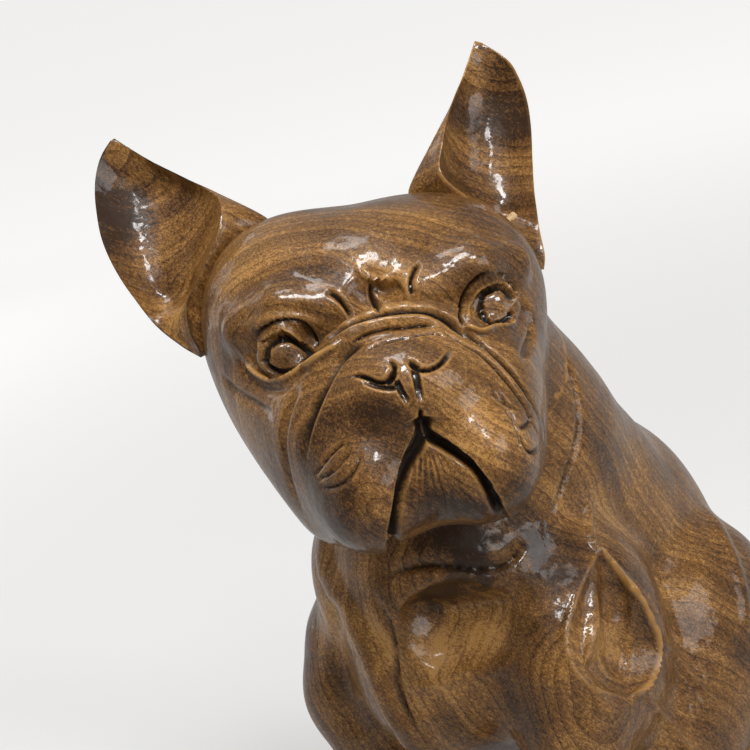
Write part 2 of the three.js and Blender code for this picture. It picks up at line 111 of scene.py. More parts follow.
# Where noise about 0.5 nearly always lies, and where it mostly lies
NOISE_SPAN = (0.3, 0.7)
NOISE_CORE = (0.35, 0.65)

# Balls that rough the trunk out, and the angle in degrees above which an edge stays sharp
BALL_SEGMENTS = 40
BALL_RINGS = 20
BALLS_IN_LIMB = 5
SHARP_EDGE = 55.0


def smooth_union(first: Array, second: Array, blend: float) -> Array:
    """Joins two distance fields with a fillet.

    Args:
        first: Distances to the first form.
        second: Distances to the second form.
        blend: Width over which the two surfaces run into each other.

    Returns:
        Distances to the joined form.
    """
    share = np.clip(0.5 + 0.5 * (first - second) / blend, 0.0, 1.0)
    return first + (second - first) * share - blend * share * (1.0 - share)


@dataclass(frozen=True)
class Lump:
    """An ellipsoid of wood, or a hollow scooped out by one."""

    at: Triple
    radii: Triple
    blend: float = 8.0
    turn: Triple = (0.0, 0.0, 0.0)
    hollow: bool = False

    def distance(self, points: Array) -> Array:
        """Measures how far points are from the ellipsoid.

        Args:
            points: Places in the form's frame, as rows.

        Returns:
            Distances to its surface, negative inside.
        """
        local = points - np.array(self.at)
        if any(self.turn):
            local = local @ np.array(Euler([math.radians(a) for a in self.turn]).to_matrix())
        radii = np.array(self.radii)
        near = np.linalg.norm(local / radii, axis=1)
        steep = np.linalg.norm(local / radii**2, axis=1)
        return near * (near - 1.0) / np.maximum(steep, 1e-9)

    def balls(self) -> list[tuple[Triple, Triple, Triple]]:
        """Places, radii and turns of the balls that rough the lump out."""
        turn = tuple(math.radians(a) for a in self.turn)
        return [] if self.hollow else [(self.at, self.radii, turn)]

    def mirrored(self) -> Lump:
        """Turns the lump over to the other side of the figure.

        Returns:
            The same lump there.
        """
        x, y, z = self.at
        a, b, c = self.turn
        return Lump((-x, y, z), self.radii, self.blend, (a, -b, -c), self.hollow)


@dataclass(frozen=True)
class Limb:
    """A tapered round bar of wood between two points."""

    start: Triple
    end: Triple
    start_radius: float
    end_radius: float
    blend: float = 10.0
    hollow: bool = False

    def distance(self, points: Array) -> Array:
        """Measures how far points are from the bar.

        Args:
            points: Places in the form's frame, as rows.

        Returns:
            Distances to its surface, negative inside.
        """
        start, span = np.array(self.start), np.array(self.end) - np.array(self.start)
        along = np.clip((points - start) @ span / (span @ span), 0.0, 1.0)
        radius = self.start_radius + (self.end_radius - self.start_radius) * along
        return np.linalg.norm(points - start - along[:, None] * span, axis=1) - radius

    def balls(self) -> list[tuple[Triple, Triple, Triple]]:
        """Lists the balls that rough the bar out.

        Returns:
            Their places, radii and turns.
        """
        found = []
        for share in [] if self.hollow else np.linspace(0.0, 1.0, BALLS_IN_LIMB):
            at = np.array(self.start) * (1 - share) + np.array(self.end) * share
            radius = self.start_radius * (1 - share) + self.end_radius * share
            found.append((tuple(at), (radius,) * 3, (0.0, 0.0, 0.0)))
        return found

    def mirrored(self) -> Limb:
        """Turns the bar over to the other side of the figure.

        Returns:
            The same bar there.
        """
        (ax, ay, az), (bx, by, bz) = self.start, self.end
        radii = self.start_radius, self.end_radius
        return Limb((-ax, ay, az), (-bx, by, bz), *radii, self.blend, self.hollow)


@dataclass(frozen=True)
class Flat:
    """A flat face that takes off all the wood in front of it."""

    at: Triple
    facing: Triple
    blend: float = 0.4

    def distance(self, points: Array) -> Array:
        """Distances from points to the flat, positive in front of it."""
        facing = np.array(self.facing)
        return (points - np.array(self.at)) @ (facing / np.linalg.norm(facing))


@dataclass(frozen=True)
class Placement:
    """Where a piece's own frame lies in the figure's frame."""

    at: Triple
    turned_left: float = 0.0
    raised: float = 0.0

    def matrix(self) -> Matrix:
        """Works out the piece's own frame.

        Returns:
            What turns the piece's own millimetres into the figure's.
        """
        turn = Matrix.Rotation(math.radians(self.turned_left), 4, "Z")
        raise_ = Matrix.Rotation(math.radians(-self.raised), 4, "X")
        return Matrix.Translation(self.at) @ turn @ raise_

    def place(self, points: Array) -> Array:
        """Carries points from the piece's own frame to the figure's."""
        matrix = np.array(self.matrix())
        return points @ matrix[:3, :3].T + matrix[:3, 3]

    def local(self, points: Array) -> Array:
        """Carries points from the figure's frame to the piece's own."""
        matrix = np.array(self.matrix())
        return (points - matrix[:3, 3]) @ matrix[:3, :3]


@dataclass
class Form:
    """Masses of wood run together in order, with its hollows and flats."""

    place: Placement | None = None
    masses: list[Lump | Limb | Flat | Form] = field(default_factory=list)
    blend: float = 4.0
    empty: float = 1000.0

    def both(self, *masses: Lump | Limb) -> Form:
        """Adds masses on both sides of the figure.

        Args:
            masses: Masses on the side of positive X.

        Returns:
            This form.
        """
        for mass in masses:
            self.masses += [mass, mass.mirrored()]
        return self

    def add(self, *masses: Lump | Limb | Flat | Form) -> Form:
        """Adds masses as they are and returns this form."""
        self.masses += masses
        return self

    def distance(self, points: Array) -> Array:
        """Measures how far points are from the whole form.

        Args:
            points: Places in the figure's millimetres, as rows.

        Returns:
            Distances to its surface, negative inside.
        """
        if self.place is not None:
            points = self.place.local(points)
        result = np.full(len(points), self.empty)
        for mass in self.masses:
            other = mass.distance(points)
            if isinstance(mass, Flat):
                result = -smooth_union(-result, -other, mass.blend)
            elif not isinstance(mass, Form) and mass.hollow:
                result = -smooth_union(-result, other, mass.blend)
            else:
                result = smooth_union(result, other, mass.blend)
        return result


@dataclass(frozen=True)
class Viewpoint:
    """The photograph's camera.

    Attributes:
        azimuth: Degrees from the figure's front toward its left.
        elevation: Degrees above the floor.
        roll: Degrees that the camera is turned about its own line of sight.
        distance: Millimetres from the point that it aims at.
        lens: Focal length in millimetres.
        aim: The point that it aims at.
        clear: Millimetres before that point where a sight line starts.
        clip: Nearest and farthest distance seen, in metres.
    """

    azimuth: float = 42.0
    elevation: float = 15.0
    roll: float = -13.0
    distance: float = 650.0
    lens: float = 99.0
    aim: Triple = (0.0, 0.0, 0.0)
    clear: float = 200.0
    clip: tuple[float, float] = (0.01, 20.0)

    def matrix(self) -> Matrix:
        """Works out the camera's frame.

        Returns:
            What turns the camera's frame into the figure's millimetres.
        """
        across, up = math.radians(self.azimuth), math.radians(self.elevation)
        back = Vector((math.sin(across) * math.cos(up), -math.cos(across) * math.cos(up), math.sin(up)))
        turn = (-back).to_track_quat("-Z", "Y").to_matrix().to_4x4()
        spin = Matrix.Rotation(math.radians(self.roll), 4, "Z")
        return Matrix.Translation(Vector(self.aim) + back * self.distance) @ turn @ spin

    def focal(self) -> float:
        """The lens's length in pixels of the photograph."""
        return PICTURE_SIDE * self.lens / SENSOR_MM

    def pixels(self, points: Array) -> Array:
        """Works out where points fall in the photograph.

        Args:
            points: Places in the figure's millimetres, as rows.

        Returns:
            Pixels, as rows.
        """
        matrix = np.array(self.matrix().inverted())
        local = points @ matrix[:3, :3].T + matrix[:3, 3]
        across, up = (self.focal() * local[:, side] / local[:, 2] for side in (0, 1))
        return np.stack([PICTURE_SIDE / 2 - across, PICTURE_SIDE / 2 + up], axis=1)

    def onto(self, form: Form, pixels: Array) -> Array:
        """Where the rays of pixels first meet a form.

        Args:
            form: The form.
            pixels: Places in the photograph, as rows.

        Returns:
            Places in the figure's millimetres: where a ray misses, the one nearest to the form.
        """
        matrix = np.array(self.matrix())
        across, down = pixels[:, 0] - PICTURE_SIDE / 2, pixels[:, 1] - PICTURE_SIDE / 2
        away = np.stack([across, -down, np.full(len(pixels), -self.focal())], axis=1) @ matrix[:3, :3].T
        away /= np.linalg.norm(away, axis=1)[:, None]
        out = np.full(len(pixels), self.distance - self.clear)
        least, best = np.full(len(pixels), np.inf), out.copy()
        for _ in range(SIGHT_STEPS):
            gap = form.distance(self.eye() + out[:, None] * away)
            best = np.where(gap < least, out, best)
            least = np.minimum(gap, least)
            out = out + np.where(gap > SIGHT_END, SIGHT_PACE * gap, 0.0)
        return self.eye() + best[:, None] * away

    def eye(self) -> Array:
        """The camera's place in the figure's millimetres."""
        return np.array(self.matrix().translation)

    def build(self, shift: Triple) -> None:
        """Makes the scene's camera.

        Args:
            shift: Where the figure stands, in millimetres.
        """
        data = bpy.data.cameras.new("camera")
        data.lens = self.lens
        data.sensor_width = SENSOR_MM
        data.clip_start, data.clip_end = self.clip
        camera = bpy.data.objects.new("camera", data)
        bpy.context.scene.collection.objects.link(camera)
        place = self.matrix()
        place.translation = (place.translation + Vector(shift)) * METRES_PER_MM
        camera.matrix_world = place
        bpy.context.scene.camera = camera


# Where the head lies on the figure, and where the photograph was taken from
HEAD = Placement(at=(13.0, -24.0, 205.0), turned_left=46.0, raised=14.0)
VIEW = Viewpoint(aim=(12.06, -29.45, 192.22))


def coordinates(mesh: bpy.types.Mesh) -> Array:
    """Reads a mesh's vertices.

    Args:
        mesh: The mesh.

    Returns:
        Their places, as rows.
    """
    flat = np.empty(len(mesh.vertices) * 3)
    mesh.vertices.foreach_get("co", flat)
    return flat.reshape(-1, 3)


def move_vertices(mesh: bpy.types.Mesh, places: Array) -> None:
    """Puts a mesh's vertices at new places."""
    mesh.vertices.foreach_set("co", places.ravel())
    mesh.update()


def normals(mesh: bpy.types.Mesh) -> Array:
    """Reads a mesh's vertex normals.

    Args:
        mesh: The mesh.

    Returns:
        The normals, as rows.
    """
    flat = np.empty(len(mesh.vertices) * 3)
    mesh.vertex_normals.foreach_get("vector", flat)
    return flat.reshape(-1, 3)


def edge_ends(mesh: bpy.types.Mesh) -> tuple[Array, Array, Array]:
    """How a mesh's vertices hang together.

    Args:
        mesh: The mesh.

    Returns:
        The vertex that each edge starts at, the one that it stops at, and each vertex's count of edges.
    """
    ends = np.empty(len(mesh.edges) * 2, np.int32)
    mesh.edges.foreach_get("vertices", ends)
    starts, stops = ends.reshape(-1, 2).T
    return starts, stops, np.maximum(np.bincount(ends, minlength=len(mesh.vertices)), 1).astype(float)


def deselect() -> None:
    """Leaves nothing selected, so that an operator acts on the next piece alone."""
    bpy.ops.object.select_all(action="DESELECT")


def choose(piece: bpy.types.Object) -> None:
    """Leaves one piece selected and active, so that an operator acts on it alone.

    Args:
        piece: The piece.
    """
    deselect()
    piece.select_set(True)
    bpy.context.view_layer.objects.active = piece


def round_block(name: str, rows: int, lean: Triple = (0.0, 0.0, 0.0)) -> bpy.types.Object:
    """Makes a ball of near-square faces from a cube, as the blank of a carved piece.

    Args:
        name: The piece's name.
        rows: Faces along each edge of the cube.
        lean: Where the faces crowd together, as a share of the radius.

    Returns:
        The blank, of unit radius.
    """
    deselect()
    bpy.ops.mesh.primitive_cube_add(size=2.0)
    blank = bpy.context.active_object
    blank.name = blank.data.name = name
    bpy.ops.object.mode_set(mode="EDIT")
    bpy.ops.mesh.select_all(action="SELECT")
    bpy.ops.mesh.subdivide(number_cuts=rows - 1)
    bpy.ops.object.mode_set(mode="OBJECT")
    corners = np.tan(coordinates(blank.data) * math.pi / 4)
    corners = corners / np.linalg.norm(corners, axis=1)[:, None] + np.array(lean)
    move_vertices(blank.data, corners / np.linalg.norm(corners, axis=1)[:, None])
    return blank


def wrap(blank: bpy.types.Object, form: Form, spine: tuple[Triple, Triple], reach: float,
         place: Placement | None = None) -> None:
    """Shrinks a blank onto a form, along rays that leave a spine inside it.

    Args:
        blank: A ball of unit radius, whose vertices are the rays' directions.
        form: The form that the blank becomes.
        spine: The line inside the form that the rays leave, from its low end to its high end.
        reach: How far out the rays start.
        place: The frame that the spine and the blank are given in.
    """
    rays = coordinates(blank.data)
    low, high = np.array(spine[0]), np.array(spine[1])
    along = rays @ ((high - low) / np.linalg.norm(high - low))
    origins = low + (high - low) * (0.5 + 0.5 * along)[:, None]
    if place is not None:
        origins, rays = place.place(origins), place.place(rays) - place.place(np.zeros((1, 3)))
    out = np.full(len(rays), reach)
    live = np.arange(len(rays))
    for _ in range(RAY_STEPS):
        gap = form.distance(origins[live] + out[live, None] * rays[live])
        out[live] = np.maximum(out[live] - RAY_PACE * gap, RAY_LEAST)
        live = live[np.abs(gap) > RAY_END]
        if not len(live):
            break
    move_vertices(blank.data, origins + out[:, None] * rays)


def rough_out(name: str, masses: list[Lump | Limb], grain: float) -> bpy.types.Object:
    """Joins balls the size of each mass, and skins them as one blank of even faces.

    Args:
        name: The piece's name.
        masses: The masses that add wood.
        grain: Width of the skin's faces.

    Returns:
        The blank, in millimetres.
    """
    deselect()
    for mass in masses:
        for ball_at, radii, turn in mass.balls():
            bpy.ops.mesh.primitive_uv_sphere_add(segments=BALL_SEGMENTS, ring_count=BALL_RINGS, radius=1.0,
                                                 location=ball_at, rotation=turn, scale=radii)
    balls = [o for o in bpy.context.scene.objects if o.name.startswith("Sphere")]
    for ball in balls:
        ball.select_set(True)
    bpy.context.view_layer.objects.active = balls[0]
    bpy.ops.object.join()
    bpy.ops.object.transform_apply(location=True, rotation=True, scale=True)
    blank = bpy.context.active_object
    blank.name = blank.data.name = name
    skin = blank.modifiers.new("skin", "REMESH")
    skin.mode = "VOXEL"
    skin.voxel_size = grain
    bpy.ops.object.modifier_apply(modifier=skin.name)
    return blank


def slopes(form: Form, points: Array) -> tuple[Array, Array]:
    """Distances from points to a form, and the way in which they grow.

    Args:
        form: The form.
        points: Places in the figure's millimetres.

    Returns:
        Distances, and their gradients as rows.
    """
    corners = np.array([(1, -1, -1), (-1, -1, 1), (-1, 1, -1), (1, 1, 1)], float)
    found = [form.distance(points + corner * SLOPE_STEP) for corner in corners]
    gradient = sum(value[:, None] * corner for value, corner in zip(found, corners)) / (4 * SLOPE_STEP)
    return sum(found) / 4, gradient


def settle(piece: bpy.types.Object, form: Form, rounds: int, ease: float = 0.5) -> None:
    """Draws a skin onto a form, and evens out its faces along the surface as it goes.

    Args:
        piece: The skin, whose vertices already lie near the form.
        form: The form.
        rounds: How many times the skin is evened out and drawn in.
        ease: Share of the way that a vertex goes to the middle of its neighbours.
    """
    points = coordinates(piece.data)
    starts, stops, count = edge_ends(piece.data)
    for step in range(rounds + LAST_ROUNDS):
        distance, gradient = slopes(form, points)
        size = np.linalg.norm(gradient, axis=1)
        normal = gradient / np.maximum(size, 1e-6)[:, None]
        shift = np.clip(distance / np.maximum(size, SLOPE_LEAST), -MOVE_MOST, MOVE_MOST)
        points = points - shift[:, None] * normal
        if step >= rounds:
            continue
        middle = np.stack([np.bincount(starts, points[stops, k], len(points))
                           + np.bincount(stops, points[starts, k], len(points)) for k in range(3)], axis=1)
        pull = middle / count[:, None] - points
        pull -= np.sum(pull * normal, axis=1)[:, None] * normal
        points = points + ease * pull
    move_vertices(piece.data, points)


def cut_flat(piece: bpy.types.Object, at: Triple, facing: Triple) -> None:
    """Saws a piece flat and leaves the side that the flat doesn't face.

    Args:
        piece: The piece.
        at: A point of the flat.
        facing: The way out of the wood.
    """
    choose(piece)
    bpy.ops.object.mode_set(mode="EDIT")
    bpy.ops.mesh.select_all(action="SELECT")
    bpy.ops.mesh.bisect(plane_co=at, plane_no=facing, use_fill=True, clear_outer=True)
    bpy.ops.object.mode_set(mode="OBJECT")


def curve_through(marks: Array, steps: int) -> Array:
    """Runs a smooth curve through marks.

    Args:
        marks: The marks, as rows.
        steps: Points from one mark to the next.

    Returns:
        Points of the curve, as rows.
    """
    padded = np.vstack([2 * marks[0] - marks[1], marks, 2 * marks[-1] - marks[-2]])
    found = []
    for before, here, there, beyond in zip(padded, padded[1:], padded[2:], padded[3:]):
        for t in np.arange(steps) / steps:
            found.append(0.5 * (2 * here + (there - before) * t
                                + (2 * before - 5 * here + 4 * there - beyond) * t**2
                                + (3 * here - before - 3 * there + beyond) * t**3))
    return np.vstack([*found, marks[-1]])


class Edge(Enum):
    """How the wood falls into a cut: pointed, round, or with a flat bottom.

    The value is the power of the slope where it is pointed, and otherwise the share that is flat.
    """

    SHARP = 1.6
    ROUND = 0.0
    TROUGH = 0.6

    def fall(self, reach: Array) -> Array:
        """Works out the cut's profile.

        Args:
            reach: Shares of the way out from the cut's line.

        Returns:
            Shares of the full depth.
        """
        reach = np.clip(reach, 0.0, 1.0)
        if self is Edge.SHARP:
            return (1.0 - reach) ** self.value
        side = np.clip((reach - self.value) / (1.0 - self.value), 0.0, 1.0)
        return 0.5 + 0.5 * np.cos(math.pi * side)


@dataclass(frozen=True)
class Cut:
    """A cut of the gouge along a line drawn in the photograph, or a ridge that it leaves.

    Attributes:
        line: Points of the line, in the photograph's pixels.
        depth: Depth in millimetres, below 0 for a ridge.
        left: How far it reaches to the line's left, in millimetres on the wood.
        right: How far it reaches to the line's right.
        edge: How the wood falls into it.
        fades: Shares of the line over which it fades in and out.
    """

    line: tuple[Pixel, ...]
    depth: float
    left: float
    right: float
    edge: Edge = Edge.SHARP
    fades: tuple[float, float] = (0.2, 0.2)

    def sunk(self, points: Array, pixels: Array, course: Array, drawn: Array) -> tuple[Array, Array]:
        """How far the cut goes into the wood.

        Args:
            points: Places on the wood.
            pixels: The same places in the photograph.
            course: The cut's line on the wood.
            drawn: The cut's line in the photograph.

        Returns:
            The rows of the points that the cut reaches, and its depth at them.
        """
        reach = max(self.left, self.right)
        near = np.all((points > course.min(0) - reach) & (points < course.max(0) + reach), axis=1)
        rows = np.nonzero(near)[0]
        spans = course[1:] - course[:-1]
        away = points[rows, None] - course[None, :-1]
        long2 = np.maximum(np.sum(spans * spans, axis=1), 1e-9)
        share = np.clip(np.sum(away * spans, axis=2) / long2, 0.0, 1.0)
        gap = np.linalg.norm(away - share[..., None] * spans, axis=2)
        closest = np.argmin(gap, axis=1)
        picked = np.arange(len(rows)), closest
        along = (closest + share[picked]) / len(spans)
        way = (drawn[1:] - drawn[:-1])[closest]
        off = pixels[rows] - drawn[closest]
        right = way[:, 0] * off[:, 1] - way[:, 1] * off[:, 0] > 0.0
        fall = self.edge.fall(gap[picked] / np.where(right, self.right, self.left))
        fade = np.ones(len(rows))
        for end, place in zip(self.fades, (along, 1.0 - along)):
            if end > 0.0:
                fade *= np.sin(np.clip(place / end, 0.0, 1.0) * math.pi / 2)
        return rows, self.depth * fall * fade


def carve(piece: bpy.types.Object, form: Form, layers: tuple[tuple[Cut, ...], ...]) -> None:
    """Cuts lines and folds into a skin, and notes on it how deep each narrow cut lies, for the dark polish,
    painted shade and painted highlights of its finish.

    Args:
        piece: The skin, in the figure's millimetres.
        form: The form that the skin lies on.
        layers: Cuts, broad ones first; in one layer the deepest counts, and layers add up.
    """
    points = coordinates(piece.data)
    pixels = VIEW.pixels(points)
    cuts = [cut for layer in layers for cut in layer]
    drawn = {cut: curve_through(np.array(cut.line, float), CURVE_STEPS) for cut in cuts}
    ends = np.cumsum([len(line) for line in drawn.values()])[:-1]
    courses = dict(zip(drawn, np.split(VIEW.onto(form, np.vstack([*drawn.values()])), ends)))
    depth, grooves = np.zeros(len(points)), np.zeros(len(points))
    for layer in layers:
        sunk, raised = np.zeros(len(points)), np.zeros(len(points))
        for cut in layer:
            rows, found = cut.sunk(points, pixels, courses[cut], drawn[cut])
            sunk[rows] = np.maximum(sunk[rows], found)
            raised[rows] = np.maximum(raised[rows], -found)
            if min(cut.left, cut.right) < GROOVE:
                share = found / (1.0 + GROOVE_SPREAD * (cut.right + cut.left))
                grooves[rows] = np.where(np.abs(share) > np.abs(grooves[rows]), share, grooves[rows])
        depth += sunk - raised
    _, gradient = slopes(form, points)
    normal = gradient / np.maximum(np.linalg.norm(gradient, axis=1), 1e-6)[:, None]
    move_vertices(piece.data, points - depth[:, None] * normal)
    note(piece, "groove", grooves)


def note(piece: bpy.types.Object, name: str, values: Array) -> None:
    """Writes one number for each vertex on a piece, for its finish to read."""
    layer = piece.data.attributes.new(name, "FLOAT", "POINT")
    layer.data.foreach_set("value", values.astype(np.float32))


def note_hollows(piece: bpy.types.Object, spread: int) -> None:
    """Writes on a piece how hollow each place is, above 0 in creases and below 0 on edges.

    Args:
        piece: The finished skin, in the figure's millimetres.
        spread: How many times the measure is averaged with its neighbours.
    """
    points, normal = coordinates(piece.data), normals(piece.data)
    starts, stops, count = edge_ends(piece.data)
    span = points[stops] - points[starts]
    long2 = np.maximum(np.sum(span * span, axis=1), 1e-6)
    bend = (np.bincount(starts, np.sum(span * normal[starts], axis=1) / long2, len(points))
            - np.bincount(stops, np.sum(span * normal[stops], axis=1) / long2, len(points))) / count
    for _ in range(spread):
        bend = 0.5 * bend + 0.5 * (np.bincount(starts, bend[stops], len(points))
                                   + np.bincount(stops, bend[starts], len(points))) / count
    note(piece, "hollow", bend)


EYE_CUTS = (
    # the figure's right eye: crease over the lid, lid, groove round the ball, lower lid
    Cut(((252, 345), (256, 335), (264, 328), (275, 323), (287, 321), (299, 322), (309, 329),
         (315, 338), (318, 347)), 2.4, 1.0, 1.5, fades=(0.25, 0.15)),
    Cut(((302, 322), (310, 329), (315, 339)), 2.0, 1.0, 4.5, Edge.ROUND, (0.3, 0.2)),
    Cut(((258, 352), (262, 341), (269, 334), (278, 329), (285, 328), (294, 333), (303, 341), (313, 350)),
        -1.5, 1.5, 1.0, Edge.ROUND),
    Cut(((266, 362), (265, 351), (272, 342), (284, 338), (297, 341), (307, 348), (313, 355)),
        2.2, 0.9, 1.5, Edge.TROUGH, (0.1, 0.1)),
    Cut(((262, 357), (267, 366), (276, 372), (288, 373), (300, 368), (309, 358), (315, 351)),
        2.2, 1.5, 0.9, Edge.TROUGH, (0.1, 0.2)),
    Cut(((246, 357), (252, 368), (261, 376), (272, 381), (286, 379), (301, 371), (316, 359),
         (328, 350), (343, 341)), -2.2, 2.0, 1.4, Edge.ROUND, (0.15, 0.3)),
    Cut(((238, 352), (244, 368), (255, 380), (268, 388), (284, 388), (302, 380)),
        1.0, 1.6, 3.0, Edge.ROUND, (0.3, 0.3)),
    # the figure's left eye
    Cut(((464, 327), (461, 314), (463, 300), (469, 288), (478, 279), (489, 273)),
        2.4, 1.4, 1.0, fades=(0.2, 0.2)),
    Cut(((495, 273), (505, 277), (512, 285), (517, 295), (521, 303)), 2.0, 1.0, 1.0, fades=(0.2, 0.2)),
    Cut(((470, 325), (468, 312), (471, 299), (478, 289), (486, 284), (496, 281), (505, 286),
         (513, 295), (518, 304)), -1.4, 1.3, 1.2, Edge.ROUND),
    Cut(((481, 318), (478, 306), (481, 296), (489, 290), (499, 287), (507, 292), (513, 301)),
        2.2, 0.9, 1.4, Edge.TROUGH, (0.1, 0.1)),
    Cut(((480, 311), (485, 320), (495, 324), (507, 321), (514, 312)),
        2.0, 1.4, 0.9, Edge.TROUGH, (0.1, 0.1)),
    Cut(((466, 323), (474, 329), (482, 331), (495, 328), (508, 325), (517, 318)),
        -1.7, 1.5, 1.3, Edge.ROUND, (0.2, 0.2)),
)

FOLD_CUTS = (
    # brow's lower edges, and the crease between the brows and the roll over the nose
    Cut(((233, 330), (243, 320), (258, 313), (278, 311), (300, 312), (318, 318), (331, 328)),
        0.8, 4.0, 2.0, Edge.ROUND),
    Cut(((322, 345), (335, 333), (350, 323), (368, 317), (388, 313), (408, 311), (425, 312),
         (440, 318), (455, 328), (470, 339), (486, 350)), 2.3, 2.6, 1.4, fades=(0.25, 0.25)),
    # the roll's own folds
    Cut(((348, 348), (358, 339), (370, 333), (386, 329), (404, 327), (422, 325), (434, 326)),
        1.5, 0.8, 1.5),
    Cut(((366, 350), (378, 344), (392, 340), (408, 336), (424, 333), (438, 333), (450, 338)),
        1.6, 0.8, 1.5),
    Cut(((440, 330), (455, 338), (468, 346), (480, 353), (494, 366), (508, 382), (520, 398),
         (530, 415), (536, 432)), 1.4, 0.8, 1.5, fades=(0.2, 0.3)),
    Cut(((366, 341), (352, 351), (340, 364), (329, 382), (319, 402), (311, 422), (306, 442), (305, 462)),
        2.4, 1.6, 3.0, fades=(0.2, 0.35)),
    Cut(((452, 322), (467, 333), (482, 344), (498, 358), (513, 374), (526, 392), (536, 410), (543, 430)),
        2.0, 1.6, 1.4, fades=(0.3, 0.3)),
    Cut(((300, 384), (292, 400), (286, 418), (283, 440), (286, 464), (293, 490), (303, 514)), 1.8, 2.4, 3.5,
        Edge.ROUND, (0.3, 0.4)),
    # cheeks
    Cut(((222, 376), (236, 390), (252, 400), (272, 413)), 1.4, 1.6, 4.0),
    Cut(((519, 296), (529, 310), (533, 328), (531, 346), (522, 362)), 2.2, 2.0, 4.0, Edge.ROUND),
    Cut(((492, 392), (500, 399), (510, 405), (521, 410)), 1.3, 1.0, 1.6),
)

STOP_CUTS = (
    # frown between the brows
    Cut(((326, 291), (334, 294), (342, 301), (348, 308), (352, 317)), 2.6, 1.2, 1.7, fades=(0.3, 0.2)),
    Cut(((418, 262), (413, 270), (409, 282), (411, 296)), 2.2, 2.2, 0.8, fades=(0.3, 0.1)),
    Cut(((371, 280), (370, 290), (372, 300), (378, 312)), 2.2, 3.0, 0.9, fades=(0.3, 0.2)),
    Cut(((371, 284), (381, 290), (391, 290), (401, 284)), 2.6, 3.2, 3.6, Edge.ROUND),
    Cut(((356, 268), (364, 276), (372, 279), (384, 279), (394, 276)),
        -1.0, 1.2, 1.2, Edge.ROUND, (0.3, 0.3)),
)

NOSE_CUTS = (
    # nostrils with their wings, the nose's lower edge, and the groove under it
    Cut(((350, 377), (358, 375), (368, 378), (377, 382), (386, 381), (392, 374), (394, 366), (388, 361)),
        2.8, 1.2, 1.3, fades=(0.3, 0.2)),
    Cut(((384, 384), (390, 379), (395, 370)), 3.6, 2.0, 1.6, Edge.ROUND, (0.4, 0.4)),
    Cut(((409, 359), (413, 365), (420, 369), (430, 369), (440, 364), (446, 357), (452, 349)),
        2.6, 1.1, 1.4, fades=(0.15, 0.3)),
    Cut(((410, 360), (414, 365), (420, 368)), 3.2, 1.5, 1.6, Edge.ROUND, (0.4, 0.4)),
    Cut(((362, 380), (374, 385), (388, 388), (398, 387)), 1.8, 1.6, 1.3, Edge.ROUND, (0.3, 0.1)),
    Cut(((396, 380), (400, 389), (404, 396), (409, 403)), 2.0, 1.1, 1.1, Edge.TROUGH, (0.1, 0.5)),
    Cut(((414, 368), (417, 379), (419, 390), (422, 402)), 2.0, 1.2, 1.2, Edge.TROUGH, (0.1, 0.4)),
)

MOUTH_CUTS = (
    # wood cut back beside the mouth, so that the lips hang over the chin
    Cut(((423, 415), (419, 436), (411, 454), (402, 473), (397, 497), (394, 520), (391, 537), (388, 553)),
        2.4, 11.0, 0.7, fades=(0.06, 0.0)),
    Cut(((422, 415), (432, 434), (450, 446), (468, 460), (482, 476), (491, 492), (500, 507), (508, 520)),
        2.4, 0.7, 11.0, fades=(0.06, 0.0)),
)

LIP_CUTS = (
    # the mouth's line down both sides, the cleft over it, and a nick under the right lip
    Cut(((421, 416), (418, 432), (410, 449), (402, 468), (397, 490), (393, 514), (390, 536), (388, 556)),
        3.2, 4.4, 0.7, Edge.TROUGH, fades=(0.1, 0.0)),
    Cut(((421, 416), (430, 431), (446, 442), (462, 454), (476, 467), (487, 482), (497, 499), (506, 516)),
        3.2, 0.7, 3.4, Edge.TROUGH, fades=(0.1, 0.05)),
    Cut(((421, 408), (421, 418), (422, 430)), 2.6, 1.2, 1.2, fades=(0.5, 0.3)),
    Cut(((330, 548), (341, 553), (353, 559)), 1.6, 1.2, 0.8),
    # whiskers
    Cut(((314, 476), (322, 464), (334, 450), (346, 440)), 1.3, 0.7, 1.3),
    Cut(((316, 480), (330, 474), (342, 462), (351, 452)), 1.3, 1.3, 0.7),
    Cut(((317, 487), (331, 487), (346, 480), (356, 466), (361, 452)), 1.3, 0.7, 1.3),
    Cut(((499, 392), (507, 402), (514, 414), (519, 427)), 1.2, 0.8, 1.5),
    Cut(((519, 428), (528, 424), (533, 414)), 1.8, 1.0, 1.5),
    Cut(((521, 433), (525, 446), (532, 453), (541, 449)), 2.0, 1.6, 0.9),
    Cut(((505, 408), (514, 420), (520, 436), (523, 452)), 1.3, 0.8, 1.6),
    Cut(((526, 412), (534, 424), (539, 436)), 1.4, 0.9, 1.3),
    # hair on the chin
    *(Cut(((424 + 0.35 * dx, 452 + 3 * (k % 2)), (424 + 0.7 * dx, 484), (424 + dx, 518 - 0.18 * dx)),
          0.45, 0.5, 0.7)
      for k, dx in enumerate((-22, -14, -5, 4, 14, 24, 35, 47, 60))),
)

FACE_LAYERS = (MOUTH_CUTS, FOLD_CUTS, EYE_CUTS + STOP_CUTS + NOSE_CUTS + LIP_CUTS)


